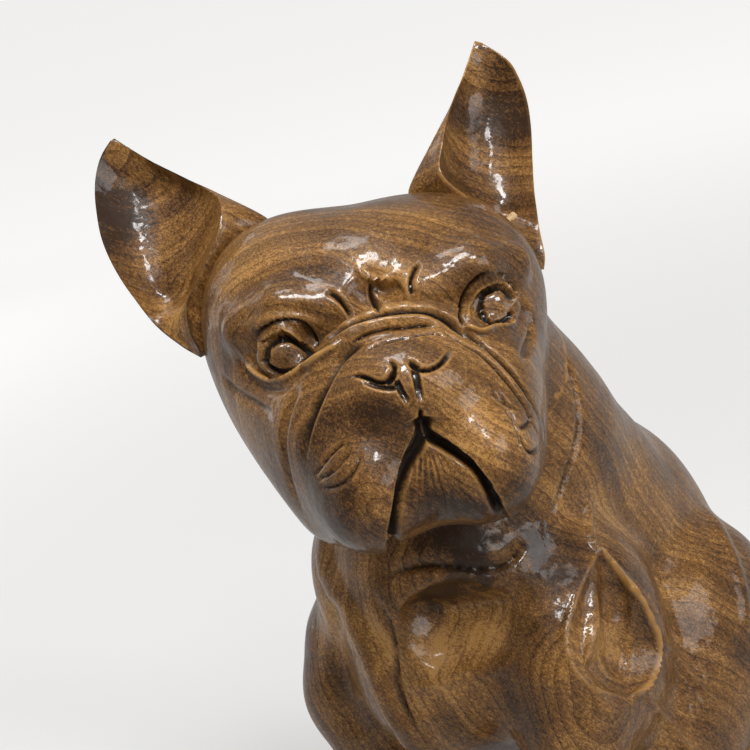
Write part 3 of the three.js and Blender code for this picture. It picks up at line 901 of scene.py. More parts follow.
BODY_LAYERS = ((
    # the plane left of the keel, the plane left of the hollow, and the shelf on the chest
    Cut(((335, 600), (338, 650), (345, 700), (360, 740)), 2.2, 7.0, 7.0, Edge.ROUND),
    Cut(((402, 604), (430, 612), (465, 612), (500, 604), (530, 590)),
        3.2, 8.0, 9.0, Edge.ROUND, (0.2, 0.3)),
    Cut(((596, 572), (589, 600), (584, 632), (588, 660), (602, 680)),
        2.8, 5.0, 5.0, Edge.ROUND, (0.3, 0.3)),
), (
    # inside of the drop-shaped hollow behind the shoulder
    Cut(((608, 580), (614, 604), (618, 632), (618, 655), (612, 674)),
        1.8, 6.0, 8.0, Edge.TROUGH, (0.4, 0.1)),
), (
    Cut(((372, 590), (388, 620), (396, 650), (399, 680), (407, 705), (420, 735)),
        2.0, 0.8, 5.0, fades=(0.2, 0.2)),
    Cut(((404, 690), (440, 682), (475, 674), (505, 664), (528, 652)),
        -1.3, 3.0, 4.0, Edge.ROUND, (0.2, 0.3)),
    # the ruff under the jaw
    Cut(((385, 585), (398, 574), (420, 569), (450, 568), (480, 571), (505, 566), (518, 556), (528, 543)),
        2.2, 5.0, 1.2, fades=(0.2, 0.2)),
    # the ridge on the neck, and its two branches round the hollow behind the shoulder
    Cut(((588, 500), (588, 520), (590, 538), (598, 552)), -2.0, 2.6, 2.6, Edge.ROUND, (0.3, 0.0)),
    Cut(((600, 550), (612, 562), (624, 577), (637, 596), (647, 615), (655, 634), (657, 652),
         (653, 672), (643, 690), (628, 698)), -2.4, 1.6, 3.0, Edge.ROUND, (0.0, 0.1)),
    Cut(((598, 550), (590, 566), (581, 588), (573, 610), (567, 632), (567, 650), (574, 668),
         (588, 684), (606, 694), (628, 698)), -1.3, 1.6, 2.6, Edge.ROUND, (0.1, 0.1)),
    # folds of the neck and shoulder
    Cut(((553, 335), (568, 365), (577, 400), (578, 430), (570, 462), (558, 495), (545, 520)), 1.8, 3.5, 1.2,
        fades=(0.2, 0.3)),
    Cut(((660, 642), (678, 660), (698, 684), (716, 702)), -1.4, 2.5, 2.5, Edge.ROUND, (0.0, 0.4)),
    Cut(((645, 696), (662, 714), (676, 732), (690, 750)), -1.4, 2.0, 3.0, Edge.ROUND, (0.1, 0.0)),
    Cut(((708, 508), (722, 535), (735, 565), (744, 600), (748, 640)),
        -1.5, 5.0, 6.0, Edge.ROUND, (0.2, 0.2)),
))


@dataclass(frozen=True)
class Row:
    """One crosswise section of an ear, in the head's own frame.

    Attributes:
        up: Share of the way from the root's foot to the tip.
        outer: The outer edge.
        strut: The fold at the inner edge.
        root: Where the fold's back meets the skull.
        cup: How deep the front is hollowed.
        back: How far the back is rounded.
    """

    up: float
    outer: Triple
    strut: Triple
    root: Triple
    cup: float
    back: float


@dataclass(frozen=True)
class Ear:
    """A cupped, pointed blade of wood.

    Attributes:
        name: The node that it stands for.
        rows: Its sections, from the root's foot to the tip.
        behind: The way out of its back.
        skin: Wood added on the hollow's side, in millimetres.
        strut_turn: Share of the way round a section at which the fold lies.
        ends: One over the share of the height at which it thins to foot and tip.
        cup_power: How flat the hollow's bottom is.
        back_power: How full the back is.
        facets: Faces along it and round it.
    """

    name: str
    rows: tuple[Row, ...]
    behind: Triple
    skin: float = 1.1
    strut_turn: float = 0.1
    ends: float = 12.0
    cup_power: float = 2.4
    back_power: float = 0.7
    facets: int = 96

    def table(self, ups: Array) -> Array:
        """Runs a smooth curve through the rows.

        Args:
            ups: Shares of the way from foot to tip.

        Returns:
            Outer edge, fold, root, cup and back there, in eleven columns.
        """
        values = np.array([[*row.outer, *row.strut, *row.root, row.cup, row.back] for row in self.rows])
        marks = np.array([row.up for row in self.rows])
        rates = np.gradient(values, marks, axis=0)
        at = np.clip(np.searchsorted(marks, ups) - 1, 0, len(marks) - 2)
        span = (marks[at + 1] - marks[at])[:, None]
        t = (ups[:, None] - marks[at][:, None]) / span
        leave = (2 * t**3 - 3 * t**2 + 1) * values[at] + (t**3 - 2 * t**2 + t) * span * rates[at]
        return leave + (3 * t**2 - 2 * t**3) * values[at + 1] + (t**3 - t**2) * span * rates[at + 1]

    def places(self, ups: Array, turns: Array) -> Array:
        """Points of the blade's skin.

        Args:
            ups: Shares of the way from the root's foot to the tip.
            turns: Shares of the way round the section: out along the front to 0.5, home over the back.

        Returns:
            The points, in the head's own frame.
        """
        values = self.table(ups)
        outer, strut, root = values[:, :3], values[:, 3:6], values[:, 6:9]
        cup, back = values[:, 9], values[:, 10]
        ends = np.clip(np.minimum(ups, 1 - ups) * self.ends, 0.0, 1.0) ** 0.5
        behind = np.array(self.behind) / np.linalg.norm(self.behind)
        rise = np.clip(turns / self.strut_turn, 0.0, 1.0)
        across = np.clip((turns - self.strut_turn) / (0.5 - self.strut_turn), 0.0, 1.0)
        face = root + (strut - root) * rise[:, None] + (outer - strut) * across[:, None]
        hollow = cup * (1 - np.abs(2 * across - 1) ** self.cup_power)
        depth = hollow - self.skin * np.sin(math.pi * across) ** 0.5
        home = np.clip((turns - 0.5) / 0.5, 0.0, 1.0)
        rear = outer + (root - outer) * home[:, None]
        swell = cup * (1 - np.abs(2 * home - 1) ** self.cup_power)
        thick = back * np.sin(math.pi * home) ** self.back_power + swell
        front = turns < 0.5
        push = np.where(front, depth, thick) * ends
        return np.where(front[:, None], face, rear) + push[:, None] * behind

    def finish(self, bench: Bench) -> None:
        """Makes the ear and hands it over.

        Args:
            bench: The wood, and the figure's form.
        """
        piece = self.build()
        move_vertices(piece.data, HEAD.place(coordinates(piece.data)))
        note_hollows(piece, 3)
        bench.hand_over(piece, bench.wood, self.name)

    def build(self) -> bpy.types.Object:
        """Makes the blade from a ball whose meridians become its sections.

        Returns:
            The blade, in the head's own frame.
        """
        deselect()
        bpy.ops.mesh.primitive_uv_sphere_add(segments=self.facets, ring_count=self.facets, radius=1.0)
        piece = bpy.context.active_object
        piece.name = piece.data.name = f"{self.name}_carved"
        ball = coordinates(piece.data)
        ups = 1 - np.arccos(np.clip(ball[:, 2], -1, 1)) / math.pi
        move_vertices(piece.data, self.places(ups, np.arctan2(ball[:, 1], ball[:, 0]) / math.tau % 1.0))
        return piece


EARS = (
    Ear("ear_right", (
        Row(0.00, (-56, 3, 5), (-56, 1, 7), (-54, 2, 6), 0, 1),
        Row(0.14, (-62, 7, 11), (-57.5, -1, 14), (-50, 2, 12), 3, 7),
        Row(0.27, (-68.5, 9, 20), (-56, -2, 23.5), (-46.5, 4, 19.5), 4.5, 10),
        Row(0.35, (-72.2, 10.5, 28.3), (-52, -2, 28.4), (-43, 4.5, 25), 12, 10),
        Row(0.42, (-75, 12, 35.5), (-48.5, -2, 32.5), (-40, 5, 30), 12, 10),
        Row(0.56, (-78, 15, 50), (-39.5, 0, 46), (-30, 6, 38), 13, 9),
        Row(0.66, (-77.5, 17.5, 60), (-38.7, 5, 53), (-25, 8, 43), 12, 7),
        Row(0.74, (-76.5, 19, 66), (-42, 11, 57.5), (-39, 11, 55.5), 10, 5),
        Row(0.83, (-74.5, 20.5, 72), (-49, 16, 64), (-48, 16, 63), 7, 3.5),
        Row(0.92, (-71.5, 21.5, 77), (-58, 19, 72), (-57.5, 19, 71.5), 3, 2.5),
        Row(1.00, (-67.5, 22, 81), (-66.5, 22, 81), (-66.5, 22, 81), 0, 1),
    ), (0.3, 0.93, -0.2)),
    Ear("ear_left", (
        Row(0.00, (56, 3, 6), (56, 1, 8), (54, 1, 7), 0, 1),
        Row(0.14, (58, 6, 11), (51, 1, 15), (46, 3, 12), 3, 7),
        Row(0.27, (59, 10, 20), (44.5, 1, 26.3), (40.5, 5, 21.5), 4.5, 10),
        Row(0.35, (59.8, 11, 26), (40.5, 0.5, 31), (36, 5.5, 26), 11, 10),
        Row(0.42, (60.5, 12, 31), (37, 0, 35), (32, 6, 30), 11, 10),
        Row(0.56, (63, 15, 42), (31, 0, 45), (24, 7, 38), 13, 9),
        Row(0.66, (65.5, 17, 53), (34.5, 5, 53.5), (21, 8, 42), 12, 7),
        Row(0.74, (66.5, 18.5, 61), (38, 11, 60), (33, 11, 56), 10, 5),
        Row(0.83, (66, 20, 69), (43, 16, 67.5), (42, 16, 66), 7, 3.5),
        Row(0.92, (63.5, 21, 76.5), (49.5, 19, 76), (49, 19, 75.5), 3, 2.5),
        Row(1.00, (56, 22, 84.5), (55, 22, 84.5), (55, 22, 84.5), 0, 1),
    ), (-0.3, 0.93, -0.2)),
)


class Graph:
    """The shader nodes of a finish or of the world, made and joined in plain steps."""

    def __init__(self, owner: bpy.types.Material | bpy.types.World,
                 shader: str = "Principled BSDF") -> None:
        """Starts with the shader that a new material or world has.

        Args:
            owner: The material or the world.
            shader: Its shader node's name.
        """
        owner.use_nodes = True
        self.owner = owner
        self.tree = owner.node_tree
        self.shader = self.tree.nodes[shader]

    def node(self, kind: str, inputs: dict, **settings: object) -> bpy.types.Node:
        """Adds one node.

        Args:
            kind: The node's type.
            inputs: Values or sockets for its inputs, by name or number.
            settings: The node's own settings.

        Returns:
            The node.
        """
        made = self.tree.nodes.new(kind)
        for name, value in settings.items():
            setattr(made, name, value)
        for name, value in inputs.items():
            if isinstance(value, Socket):
                self.tree.links.new(value, made.inputs[name])
            else:
                made.inputs[name].default_value = value
        return made

    def sum(self, kind: str, first: Value, second: Value = 0.0, third: Value = 0.0) -> Socket:
        """A sum on numbers: the kind is ADD, MULTIPLY, POWER and so on."""
        return self.node("ShaderNodeMath", {0: first, 1: second, 2: third}, operation=kind).outputs[0]

    def vector(self, kind: str, first: Value, second: Value = (0.0, 0.0, 0.0)) -> bpy.types.Node:
        """A sum on places: the kind is MULTIPLY, LENGTH, DISTANCE or DOT_PRODUCT."""
        return self.node("ShaderNodeVectorMath", {0: first, 1: second}, operation=kind)

    def length(self, place: Socket) -> Socket:
        """How far places lie from the middle."""
        return self.vector("LENGTH", place).outputs["Value"]

    def ranged(self, value: Value, low: float, high: float, start: float = 0.0, end: float = 1.0,
               smooth: bool = True) -> Socket:
        """Carries a number from one range to another and holds it inside.

        Args:
            value: The number.
            low: Where the first range starts.
            high: Where the first range ends.
            start: Where the second range starts.
            end: Where the second range ends.
            smooth: Whether it eases in and out.

        Returns:
            The number in the second range.
        """
        inputs = {"Value": value, "From Min": low, "From Max": high, "To Min": start, "To Max": end}
        kind = "SMOOTHSTEP" if smooth else "LINEAR"
        return self.node("ShaderNodeMapRange", inputs, interpolation_type=kind).outputs[0]

    def mixed(self, share: Value, first: Value, second: Value) -> Socket:
        """Mixes two colours.

        Args:
            share: Share of the second colour.
            first: The first colour.
            second: The second colour.

        Returns:
            The mixed colour.
        """
        made = self.node("ShaderNodeMix", {0: share}, data_type="RGBA")
        for number, value in ((6, first), (7, second)):
            if isinstance(value, Socket):
                self.tree.links.new(value, made.inputs[number])
            else:
                made.inputs[number].default_value = (*value, 1.0)
        return made.outputs[2]

    def millimetres(self, about: Triple = (0.0, 0.0, 0.0), turn: Triple = (0.0, 0.0, 0.0)) -> Socket:
        """Places on the object in millimetres.

        Args:
            about: The point that they are measured from.
            turn: How they are turned about it, in degrees.

        Returns:
            The places.
        """
        angles = tuple(math.radians(a) for a in turn)
        start = Euler(angles).to_matrix() @ Vector(about)
        place = self.node("ShaderNodeTexCoord", {}).outputs["Object"]
        scale = (1.0 / METRES_PER_MM,) * 3
        inputs = {"Vector": place, "Location": tuple(-start), "Rotation": angles, "Scale": scale}
        return self.node("ShaderNodeMapping", inputs).outputs[0]

    def stretched(self, place: Socket, scale: Triple) -> Socket:
        """Places multiplied by a number for each direction."""
        return self.vector("MULTIPLY", place, scale).outputs[0]

    def noise(self, place: Value, detail: float, rough: float, line: bool = False) -> Socket:
        """Noise in space or along a number.

        Args:
            place: The place, or the number.
            detail: How many finer layers it has.
            rough: How strong they are.
            line: Whether it runs along a number.

        Returns:
            Numbers about 0.5.
        """
        inputs = {"Scale": 1.0, "Detail": detail, "Roughness": rough, ("W" if line else "Vector"): place}
        made = self.node("ShaderNodeTexNoise", inputs, noise_dimensions="1D" if line else "3D")
        return made.outputs["Fac"]

    def attribute(self, name: str) -> Socket:
        """A number written on the mesh."""
        return self.node("ShaderNodeAttribute", {}, attribute_name=name).outputs["Fac"]

    def bump(self, height: Value, depth: float, under: Socket | None = None) -> Socket:
        """Raises the surface.

        Args:
            height: Heights from 0 to 1.
            depth: What a height of 1 is, in millimetres.
            under: A coarser relief below this one.

        Returns:
            The surface's direction.
        """
        inputs = {"Height": height, "Distance": depth * METRES_PER_MM, "Strength": 1.0}
        if under is not None:
            inputs["Normal"] = under
        return self.node("ShaderNodeBump", inputs).outputs[0]

    def wire(self, name: str, value: Value) -> None:
        """Joins a socket, or sets a plain value, on the shader.

        Args:
            name: The shader's input.
            value: The socket or the value.
        """
        if isinstance(value, Socket):
            self.tree.links.new(value, self.shader.inputs[name])
        else:
            self.shader.inputs[name].default_value = value


@dataclass(frozen=True)
class StainAndShading:
    """A dark patch on the figure, or a pale one: stains in the wood, and patches of painted shade and
    painted light.

    Attributes:
        at: Its middle, in the figure's millimetres.
        reach: How far it spreads.
        strength: How much it darkens the figure, below 0 where it is pale.
    """

    at: Triple
    reach: float
    strength: float


@dataclass(frozen=True)
class Noise:
    """Noise in a finish.

    Attributes:
        per_mm: How fine it is in each direction; the third runs along the log.
        detail: How many finer layers it has.
        rough: How strong they are.
    """

    per_mm: Triple
    detail: float
    rough: float

    def made(self, graph: Graph, place: Socket) -> Socket:
        """The bare noise, about 0.5."""
        return graph.noise(graph.stretched(place, self.per_mm), self.detail, self.rough)


@dataclass(frozen=True)
class Grain(Noise):
    """Noise that varies the wood's figure.

    Attributes:
        spread: How far from 0.5 it still counts.
        tint: How much it then brightens or darkens the figure.
    """

    spread: float
    tint: float

    def on(self, graph: Graph, figure: Socket, noise: Socket) -> Socket:
        """Puts the noise on the wood's figure.

        Args:
            graph: The finish's nodes.
            figure: The figure, from 0, dark, to 1.
            noise: The bare noise.

        Returns:
            The figure with the noise on it.
        """
        low, high = 0.5 - self.spread, 0.5 + self.spread
        return graph.sum("ADD", figure, graph.ranged(noise, low, high, -self.tint, self.tint, smooth=False))


@dataclass(frozen=True)
class WearAndShading:
    """Dark polish with painted shade, or pale rubbing with a painted highlight, that follows a number
    written on the mesh.

    Attributes:
        attribute: The number's name.
        start: Where it starts to show.
        full: Where it shows fully.
        share: How much of the wood it then covers.
        pale: Whether it is rubbed pale and painted as a highlight.
    """

    attribute: str
    start: float
    full: float
    share: float
    pale: bool = False


@dataclass(frozen=True)
class OiledWood:
    """Dark hardwood under satin varnish, cut from one log with an upright grain.

    Attributes:
        name: The finish's name.
        shift: Where the figure stands, in millimetres.
        dark, middle, light: The wood's colours.
        crease: Colour of the polish left in pores and cuts, which also serves as painted shade in creases.
        lean: How the log is turned, in degrees.
        pith: A point of the log's axis.
        tones: Where the figure turns from dark to middle, and from middle to light.
        taper: How much the rings widen along the log.
        ring: Width of a growth ring in millimetres.
        band: Rings that share a tone.
        band_tones: The tones of the darkest and palest band.
        late: How far the late wood of a ring darkens in each.
        late_power: How narrow the late wood is.
        sways: Bends of the rings, and how far they go in millimetres.
        grains: Finer noise on the figure; the first is the fibre.
        pore_cells: Pores per millimetre in each direction.
        pore_edge: Where a pore's inside ends, and where its rim ends, as shares of a cell.
        pore_choice: Which cells hold one.
        pore_dark: How dark they are.
        ragged: What frays the patches' edges.
        fray: How far it frays them, as a share of their reach.
        core: Share of their reach over which they have their full strength.
        smear: What makes the varnish thick and thin.
        gloss: Roughness where the varnish is thick and where it is thin.
        specular: How strongly the wood under it mirrors.
        coat: Weight of the varnish where it is thin and where it is thick.
        coat_rough: Its roughness.
        relief: How deep the wood's texture lies, in millimetres.
        fibre_share, pore_share: Parts of that which fibre and pores have.
        dent, small_dent: The gouge's last marks.
        dents: How deep they lie, in millimetres.
        small_share: Share of that which the small ones have.
        wear_and_shading: Dark polish and painted shade in the cuts and creases, and pale rubbing and
            painted highlights on the edges.
        stains_and_shading: Stains in the wood, and patches of painted shade and painted light.
    """

    name: str
    shift: Triple = (0.0, 0.0, 0.0)
    dark: Triple = (0.032, 0.014, 0.005)
    middle: Triple = (0.155, 0.068, 0.0165)
    light: Triple = (0.42, 0.215, 0.060)
    crease: Triple = (0.010, 0.007, 0.005)
    lean: Triple = (-38.0, 14.0, 0.0)
    pith: Triple = (62.0, -95.0, 150.0)
    tones: tuple[tuple[float, float], ...] = ((0.15, 0.55), (0.5, 0.95))
    taper: float = 0.03
    ring: float = 3.0
    band: float = 4.0
    band_tones: tuple[float, float] = (0.36, 0.70)
    late: tuple[float, float] = (0.06, 0.30)
    late_power: float = 5.0
    sways: tuple[tuple[Noise, float], ...] = (
        (Noise((0.012, 0.012, 0.012), 2.0, 0.5), 26.0),
        (Noise((0.07, 0.07, 0.07), 2.0, 0.5), 2.0),
    )
    grains: tuple[Grain, ...] = (
        Grain((1.3, 1.3, 0.16), 4.0, 0.6, 0.2, 0.10),
        Grain((1.3, 1.3, 0.7), 6.0, 0.75, 0.14, 0.21),
        Grain((3.6, 3.6, 2.6), 2.0, 0.6, 0.18, 0.17),
        Grain((0.028, 0.028, 0.028), 3.0, 0.55, 0.2, 0.2),
    )
    pore_cells: Triple = (2.3, 2.3, 1.0)
    pore_edge: tuple[float, float] = (0.16, 0.34)
    pore_choice: tuple[float, float] = (0.4, 0.7)
    pore_dark: float = 0.75
    ragged: Noise = Noise((0.11, 0.11, 0.066), 6.0, 0.7)
    fray: float = 2.2
    core: float = 0.2
    smear: Noise = Noise((0.16, 0.16, 0.16), 3.0, 0.6)
    gloss: tuple[float, float] = (0.34, 0.5)
    specular: float = 0.3
    coat: tuple[float, float] = (0.35, 0.75)
    coat_rough: float = 0.10
    relief: float = 0.10
    fibre_share: float = 0.5
    pore_share: float = 0.7
    dent: Noise = Noise((0.22, 0.22, 0.22), 1.0, 0.4)
    small_dent: Noise = Noise((0.8, 0.8, 0.8), 1.0, 0.4)
    dents: float = 0.35
    small_share: float = 0.12
    wear_and_shading: tuple[WearAndShading, ...] = (
        # dark polish and painted shade in creases and narrow cuts; pale rubbing and painted highlights on
        # edges and narrow ridges
        WearAndShading("hollow", 0.03, 0.42, 0.85),
        WearAndShading("groove", 0.15, 1.0, 0.92),
        WearAndShading("groove", -0.3, -1.0, 0.75, pale=True),
        WearAndShading("hollow", -0.04, -0.3, 0.6, pale=True),
    )
    stains_and_shading: tuple[StainAndShading, ...] = (
        # muzzle, left and right of the mouth, and chin
        StainAndShading((58.0, -80.0, 190.0), 17.0, 0.17),
        StainAndShading((40.0, -92.0, 172.0), 20.0, 0.26),
        StainAndShading((63.0, -71.0, 168.0), 15.0, 0.30),
        StainAndShading((74.0, -52.0, 168.0), 18.0, 0.20),
        # painted shade, with some dark polish, under the jaw and on the planes of the neck and chest
        StainAndShading((30.0, -28.0, 137.0), 19.0, 0.48),
        StainAndShading((43.0, -8.0, 132.0), 15.0, 0.30),
        StainAndShading((21.0, -30.0, 118.0), 14.0, 0.45),
        StainAndShading((48.0, -4.0, 119.0), 17.0, 0.20),
        # ears, dark above, with painted light on the lit fold
        StainAndShading((-60.0, -55.0, 260.0), 26.0, 0.32),
        StainAndShading((33.0, 46.0, 264.0), 20.0, 0.28),
        StainAndShading((-38.0, -61.0, 228.0), 14.0, -0.30),
        # painted light and sheen on the keel, the chest's shelf, inside the drop behind the left shoulder
        # and on the right shoulder, and painted shade beside them on the chest's left
        StainAndShading((-8.0, -42.0, 106.0), 18.0, -0.22),
        StainAndShading((16.0, -33.0, 98.0), 12.0, -0.22),
        StainAndShading((28.0, -25.0, 99.0), 12.0, -0.18),
        StainAndShading((56.0, 4.0, 90.0), 15.0, -0.30),
        StainAndShading((52.0, -18.0, 106.0), 12.0, 0.22),
        StainAndShading((-34.0, -26.0, 98.0), 22.0, -0.25),
    )

    def build(self) -> bpy.types.Material:
        """Makes the finish.

        Returns:
            The material.
        """
        graph = Graph(bpy.data.materials.new(self.name))
        place = graph.millimetres(self.pith, self.lean)
        figure = self.rings(graph, place)
        noises = [grain.made(graph, place) for grain in self.grains]
        for grain, noise in zip(self.grains, noises):
            figure = grain.on(graph, figure, noise)
        figure = graph.sum("SUBTRACT", figure, self.stained_and_shaded(graph))
        colour = self.dark
        for tone, (start, full) in zip((self.middle, self.light), self.tones):
            colour = graph.mixed(graph.ranged(figure, start, full), colour, tone)
        pores = self.pores(graph, place)
        colour = graph.mixed(graph.sum("MULTIPLY", pores, self.pore_dark), colour, self.crease)
        graph.wire("Base Color", self.worn_and_shaded(graph, colour))
        self.varnish(graph, place, noises[0], pores)
        return graph.owner

    def stained_and_shaded(self, graph: Graph) -> Socket:
        """Spreads the stains, the painted shade and the painted light over the figure.

        Args:
            graph: The finish's nodes.

        Returns:
            How far they darken the wood, and so where they paint shade and light.
        """
        place = graph.millimetres(self.shift)
        ragged = graph.sum("SUBTRACT", self.ragged.made(graph, place), 0.5)
        total = 0.0
        for stain_and_shade in self.stains_and_shading:
            far = graph.vector("DISTANCE", place, stain_and_shade.at).outputs["Value"]
            far = graph.sum("MULTIPLY_ADD", ragged, self.fray * stain_and_shade.reach, far)
            patch = graph.ranged(far, stain_and_shade.reach, self.core * stain_and_shade.reach, 0.0, stain_and_shade.strength)
            total = graph.sum("ADD", total, patch)
        return total

    def rings(self, graph: Graph, place: Socket) -> Socket:
        """Draws growth rings about the log's pith.

        Args:
            graph: The finish's nodes.
            place: Places in the log, in millimetres.

        Returns:
            The wood's figure, from 0, dark, to 1.
        """
        far = graph.length(graph.stretched(place, (1.0, 1.0, self.taper)))
        for noise, width in self.sways:
            far = graph.sum("MULTIPLY_ADD", noise.made(graph, place), width, far)
        bands = graph.noise(graph.sum("DIVIDE", far, self.band * self.ring), 3.0, 0.6, line=True)
        turn = graph.sum("FRACT", graph.sum("DIVIDE", far, self.ring))
        late = graph.sum("POWER", turn, self.late_power)
        late = graph.sum("MULTIPLY", late, graph.ranged(bands, *NOISE_CORE, *self.late))
        return graph.sum("SUBTRACT", graph.ranged(bands, *NOISE_SPAN, *self.band_tones, smooth=False), late)

    def pores(self, graph: Graph, place: Socket) -> Socket:
        """Draws short open pores along the grain.

        Args:
            graph: The finish's nodes.
            place: Places in the log, in millimetres.

        Returns:
            1 inside a pore.
        """
        cells = graph.stretched(place, self.pore_cells)
        made = graph.node("ShaderNodeTexVoronoi", {"Vector": cells, "Scale": 1.0, "Randomness": 1.0})
        inside = graph.ranged(made.outputs["Distance"], *self.pore_edge, 1.0, 0.0)
        chosen = graph.node("ShaderNodeSeparateColor", {0: made.outputs["Color"]}).outputs[0]
        return graph.sum("MULTIPLY", inside, graph.ranged(chosen, *self.pore_choice))

    def worn_and_shaded(self, graph: Graph, colour: Socket) -> Socket:
        """Leaves dark polish and painted shade in creases, and rubs edges pale with painted highlights.

        Args:
            graph: The finish's nodes.
            colour: The wood's colour.

        Returns:
            The colour with its wear, its painted shade and its painted highlights.
        """
        for wear_and_shading in self.wear_and_shading:
            share = graph.ranged(graph.attribute(wear_and_shading.attribute), wear_and_shading.start, wear_and_shading.full, 0.0, wear_and_shading.share)
            colour = graph.mixed(share, colour, self.light if wear_and_shading.pale else self.crease)
        return colour

    def varnish(self, graph: Graph, place: Socket, fibre: Socket, pores: Socket) -> None:
        """Lays on satin varnish that sinks a little into the grain.

        Args:
            graph: The finish's nodes.
            place: Places in the log, in millimetres.
            fibre: The fibre's noise.
            pores: 1 inside a pore.
        """
        smear = self.smear.made(graph, place)
        graph.wire("Roughness", graph.ranged(smear, *NOISE_SPAN, *self.gloss))
        graph.wire("Specular IOR Level", self.specular)
        graph.wire("Coat Weight", graph.ranged(smear, *NOISE_CORE, *self.coat))
        graph.wire("Coat Roughness", self.coat_rough)
        raised = graph.sum("MULTIPLY", fibre, self.fibre_share)
        height = graph.sum("SUBTRACT", raised, graph.sum("MULTIPLY", pores, self.pore_share))
        fine = graph.bump(height, self.relief)
        small = graph.sum("MULTIPLY", self.small_dent.made(graph, place), self.small_share)
        dents = graph.sum("ADD", self.dent.made(graph, place), small)
        graph.wire("Normal", graph.bump(dents, self.dents, fine))
        graph.wire("Coat Normal", graph.bump(dents, self.dents))


class Light(Enum):
    """The studio's square lamps: place and size in metres, and power in watts."""

    OVERHEAD = ((0.45, -0.42, 1.3), 0.30, 8.5)
    SKY = ((-0.08, -0.05, 1.45), 0.4, 4.0)
    KEY = ((0.95, -0.42, 1.12), 0.22, 4.2)
    WINDOW = ((1.1, 0.05, 0.44), 0.60, 3.6)
    FRONT = ((-0.6, -1.4, 1.0), 1.0, 6.0)
    SIDE = ((-1.1, 0.2, 0.5), 0.8, 1.8)


@dataclass(frozen=True)
class Studio:
    """A pale floor and backdrop under soft lamps.

    Attributes:
        pale: Colour of world and floor.
        ambient: How strongly the world lights.
        mirrored: How strongly it is mirrored, from behind the figure and from the camera's side.
        turn: Where the one changes to the other, as cosines to the camera's way.
        bounce: Share of the pale colour that the floor has.
        dim: The same where it is mirrored.
        glow: How strongly the mirrored floor behind the figure glows.
        glow_edge: Where that glow starts to fade and where it ends, in millimetres to the camera.
        rough: The floor's roughness.
        specular: How strongly the floor mirrors.
        near, far: Distances in metres over which the seen floor brightens.
        shown: How strongly it glows at those distances.
        camera_way: The way to the camera.
        floor_size: The floor's side in metres.
        aim: Where the lamps point, in metres.
    """

    pale: Triple = (0.875, 0.87, 0.86)
    ambient: float = 0.42
    mirrored: tuple[float, float] = (0.32, 0.05)
    turn: tuple[float, float] = (-0.35, 0.45)
    bounce: float = 0.55
    dim: float = 0.12
    glow: float = 0.42
    glow_edge: tuple[float, float] = (-200.0, 400.0)
    rough: float = 0.9
    specular: float = 0.1
    near: float = 0.3
    far: float = 1.6
    shown: tuple[float, float] = (0.37, 0.79)
    camera_way: Triple = (0.67, -0.74, 0.10)
    floor_size: float = 60.0
    aim: Triple = (0.0, 0.0, 0.2)

    def build(self) -> None:
        """Makes the world, the floor and the lamps, and sets the view's colours."""
        self.world()
        self.floor()
        for lamp in Light:
            self.lamp(lamp)
        bpy.context.scene.view_settings.view_transform = "Standard"

    def world(self) -> None:
        """Makes a world that lights evenly, shows pale, and is mirrored brighter from behind the figure."""
        world = bpy.data.worlds.new("studio")
        graph = Graph(world, "Background")
        way = graph.node("ShaderNodeTexCoord", {}).outputs["Generated"]
        facing = graph.vector("DOT_PRODUCT", way, self.camera_way).outputs["Value"]
        mirrored = graph.ranged(facing, *self.turn, *self.mirrored)
        path = graph.node("ShaderNodeLightPath", {}).outputs
        lit = graph.node("ShaderNodeMix", {0: path["Is Glossy Ray"], 2: self.ambient, 3: mirrored})
        seen = graph.node("ShaderNodeMix", {0: path["Is Camera Ray"], 2: lit.outputs[0], 3: 1.0})
        graph.wire("Color", (*self.pale, 1.0))
        graph.wire("Strength", seen.outputs[0])
        bpy.context.scene.world = world

    def floor(self) -> None:
        """Makes a wide pale floor that keeps the figure's shadow."""
        deselect()
        bpy.ops.mesh.primitive_plane_add(size=self.floor_size)
        floor = bpy.context.active_object
        floor.name = floor.data.name = "floor"
        graph = Graph(bpy.data.materials.new("pale_floor"))
        path = graph.node("ShaderNodeLightPath", {}).outputs
        lit, dim = (tuple(share * c for c in self.pale) for share in (self.bounce, self.dim))
        graph.wire("Base Color", graph.mixed(path["Is Glossy Ray"], lit, dim))
        graph.wire("Roughness", self.rough)
        graph.wire("Specular IOR Level", self.specular)
        graph.wire("Emission Color", (*self.pale, 1.0))
        place = graph.millimetres()
        near, far = self.near / METRES_PER_MM, self.far / METRES_PER_MM
        away = graph.ranged(graph.length(place), near, far, *self.shown)
        side = graph.vector("DOT_PRODUCT", place, self.camera_way).outputs["Value"]
        mirrored = graph.ranged(side, *self.glow_edge, self.glow, 0.0)
        seen = graph.sum("MULTIPLY", path["Is Camera Ray"], away)
        graph.wire("Emission Strength", graph.sum("MULTIPLY_ADD", path["Is Glossy Ray"], mirrored, seen))
        floor.data.materials.append(graph.owner)

    def lamp(self, lamp: Light) -> None:
        """Makes one square lamp that faces the figure's middle.

        Args:
            lamp: The lamp.
        """
        place, size, power = lamp.value
        data = bpy.data.lights.new(lamp.name.lower(), "AREA")
        data.size, data.energy = size, power
        light = bpy.data.objects.new(lamp.name.lower(), data)
        light.location = place
        light.rotation_euler = (Vector(self.aim) - Vector(place)).to_track_quat("-Z", "Y").to_euler()
        light.visible_glossy = lamp is not Light.FRONT
        bpy.context.scene.collection.objects.link(light)


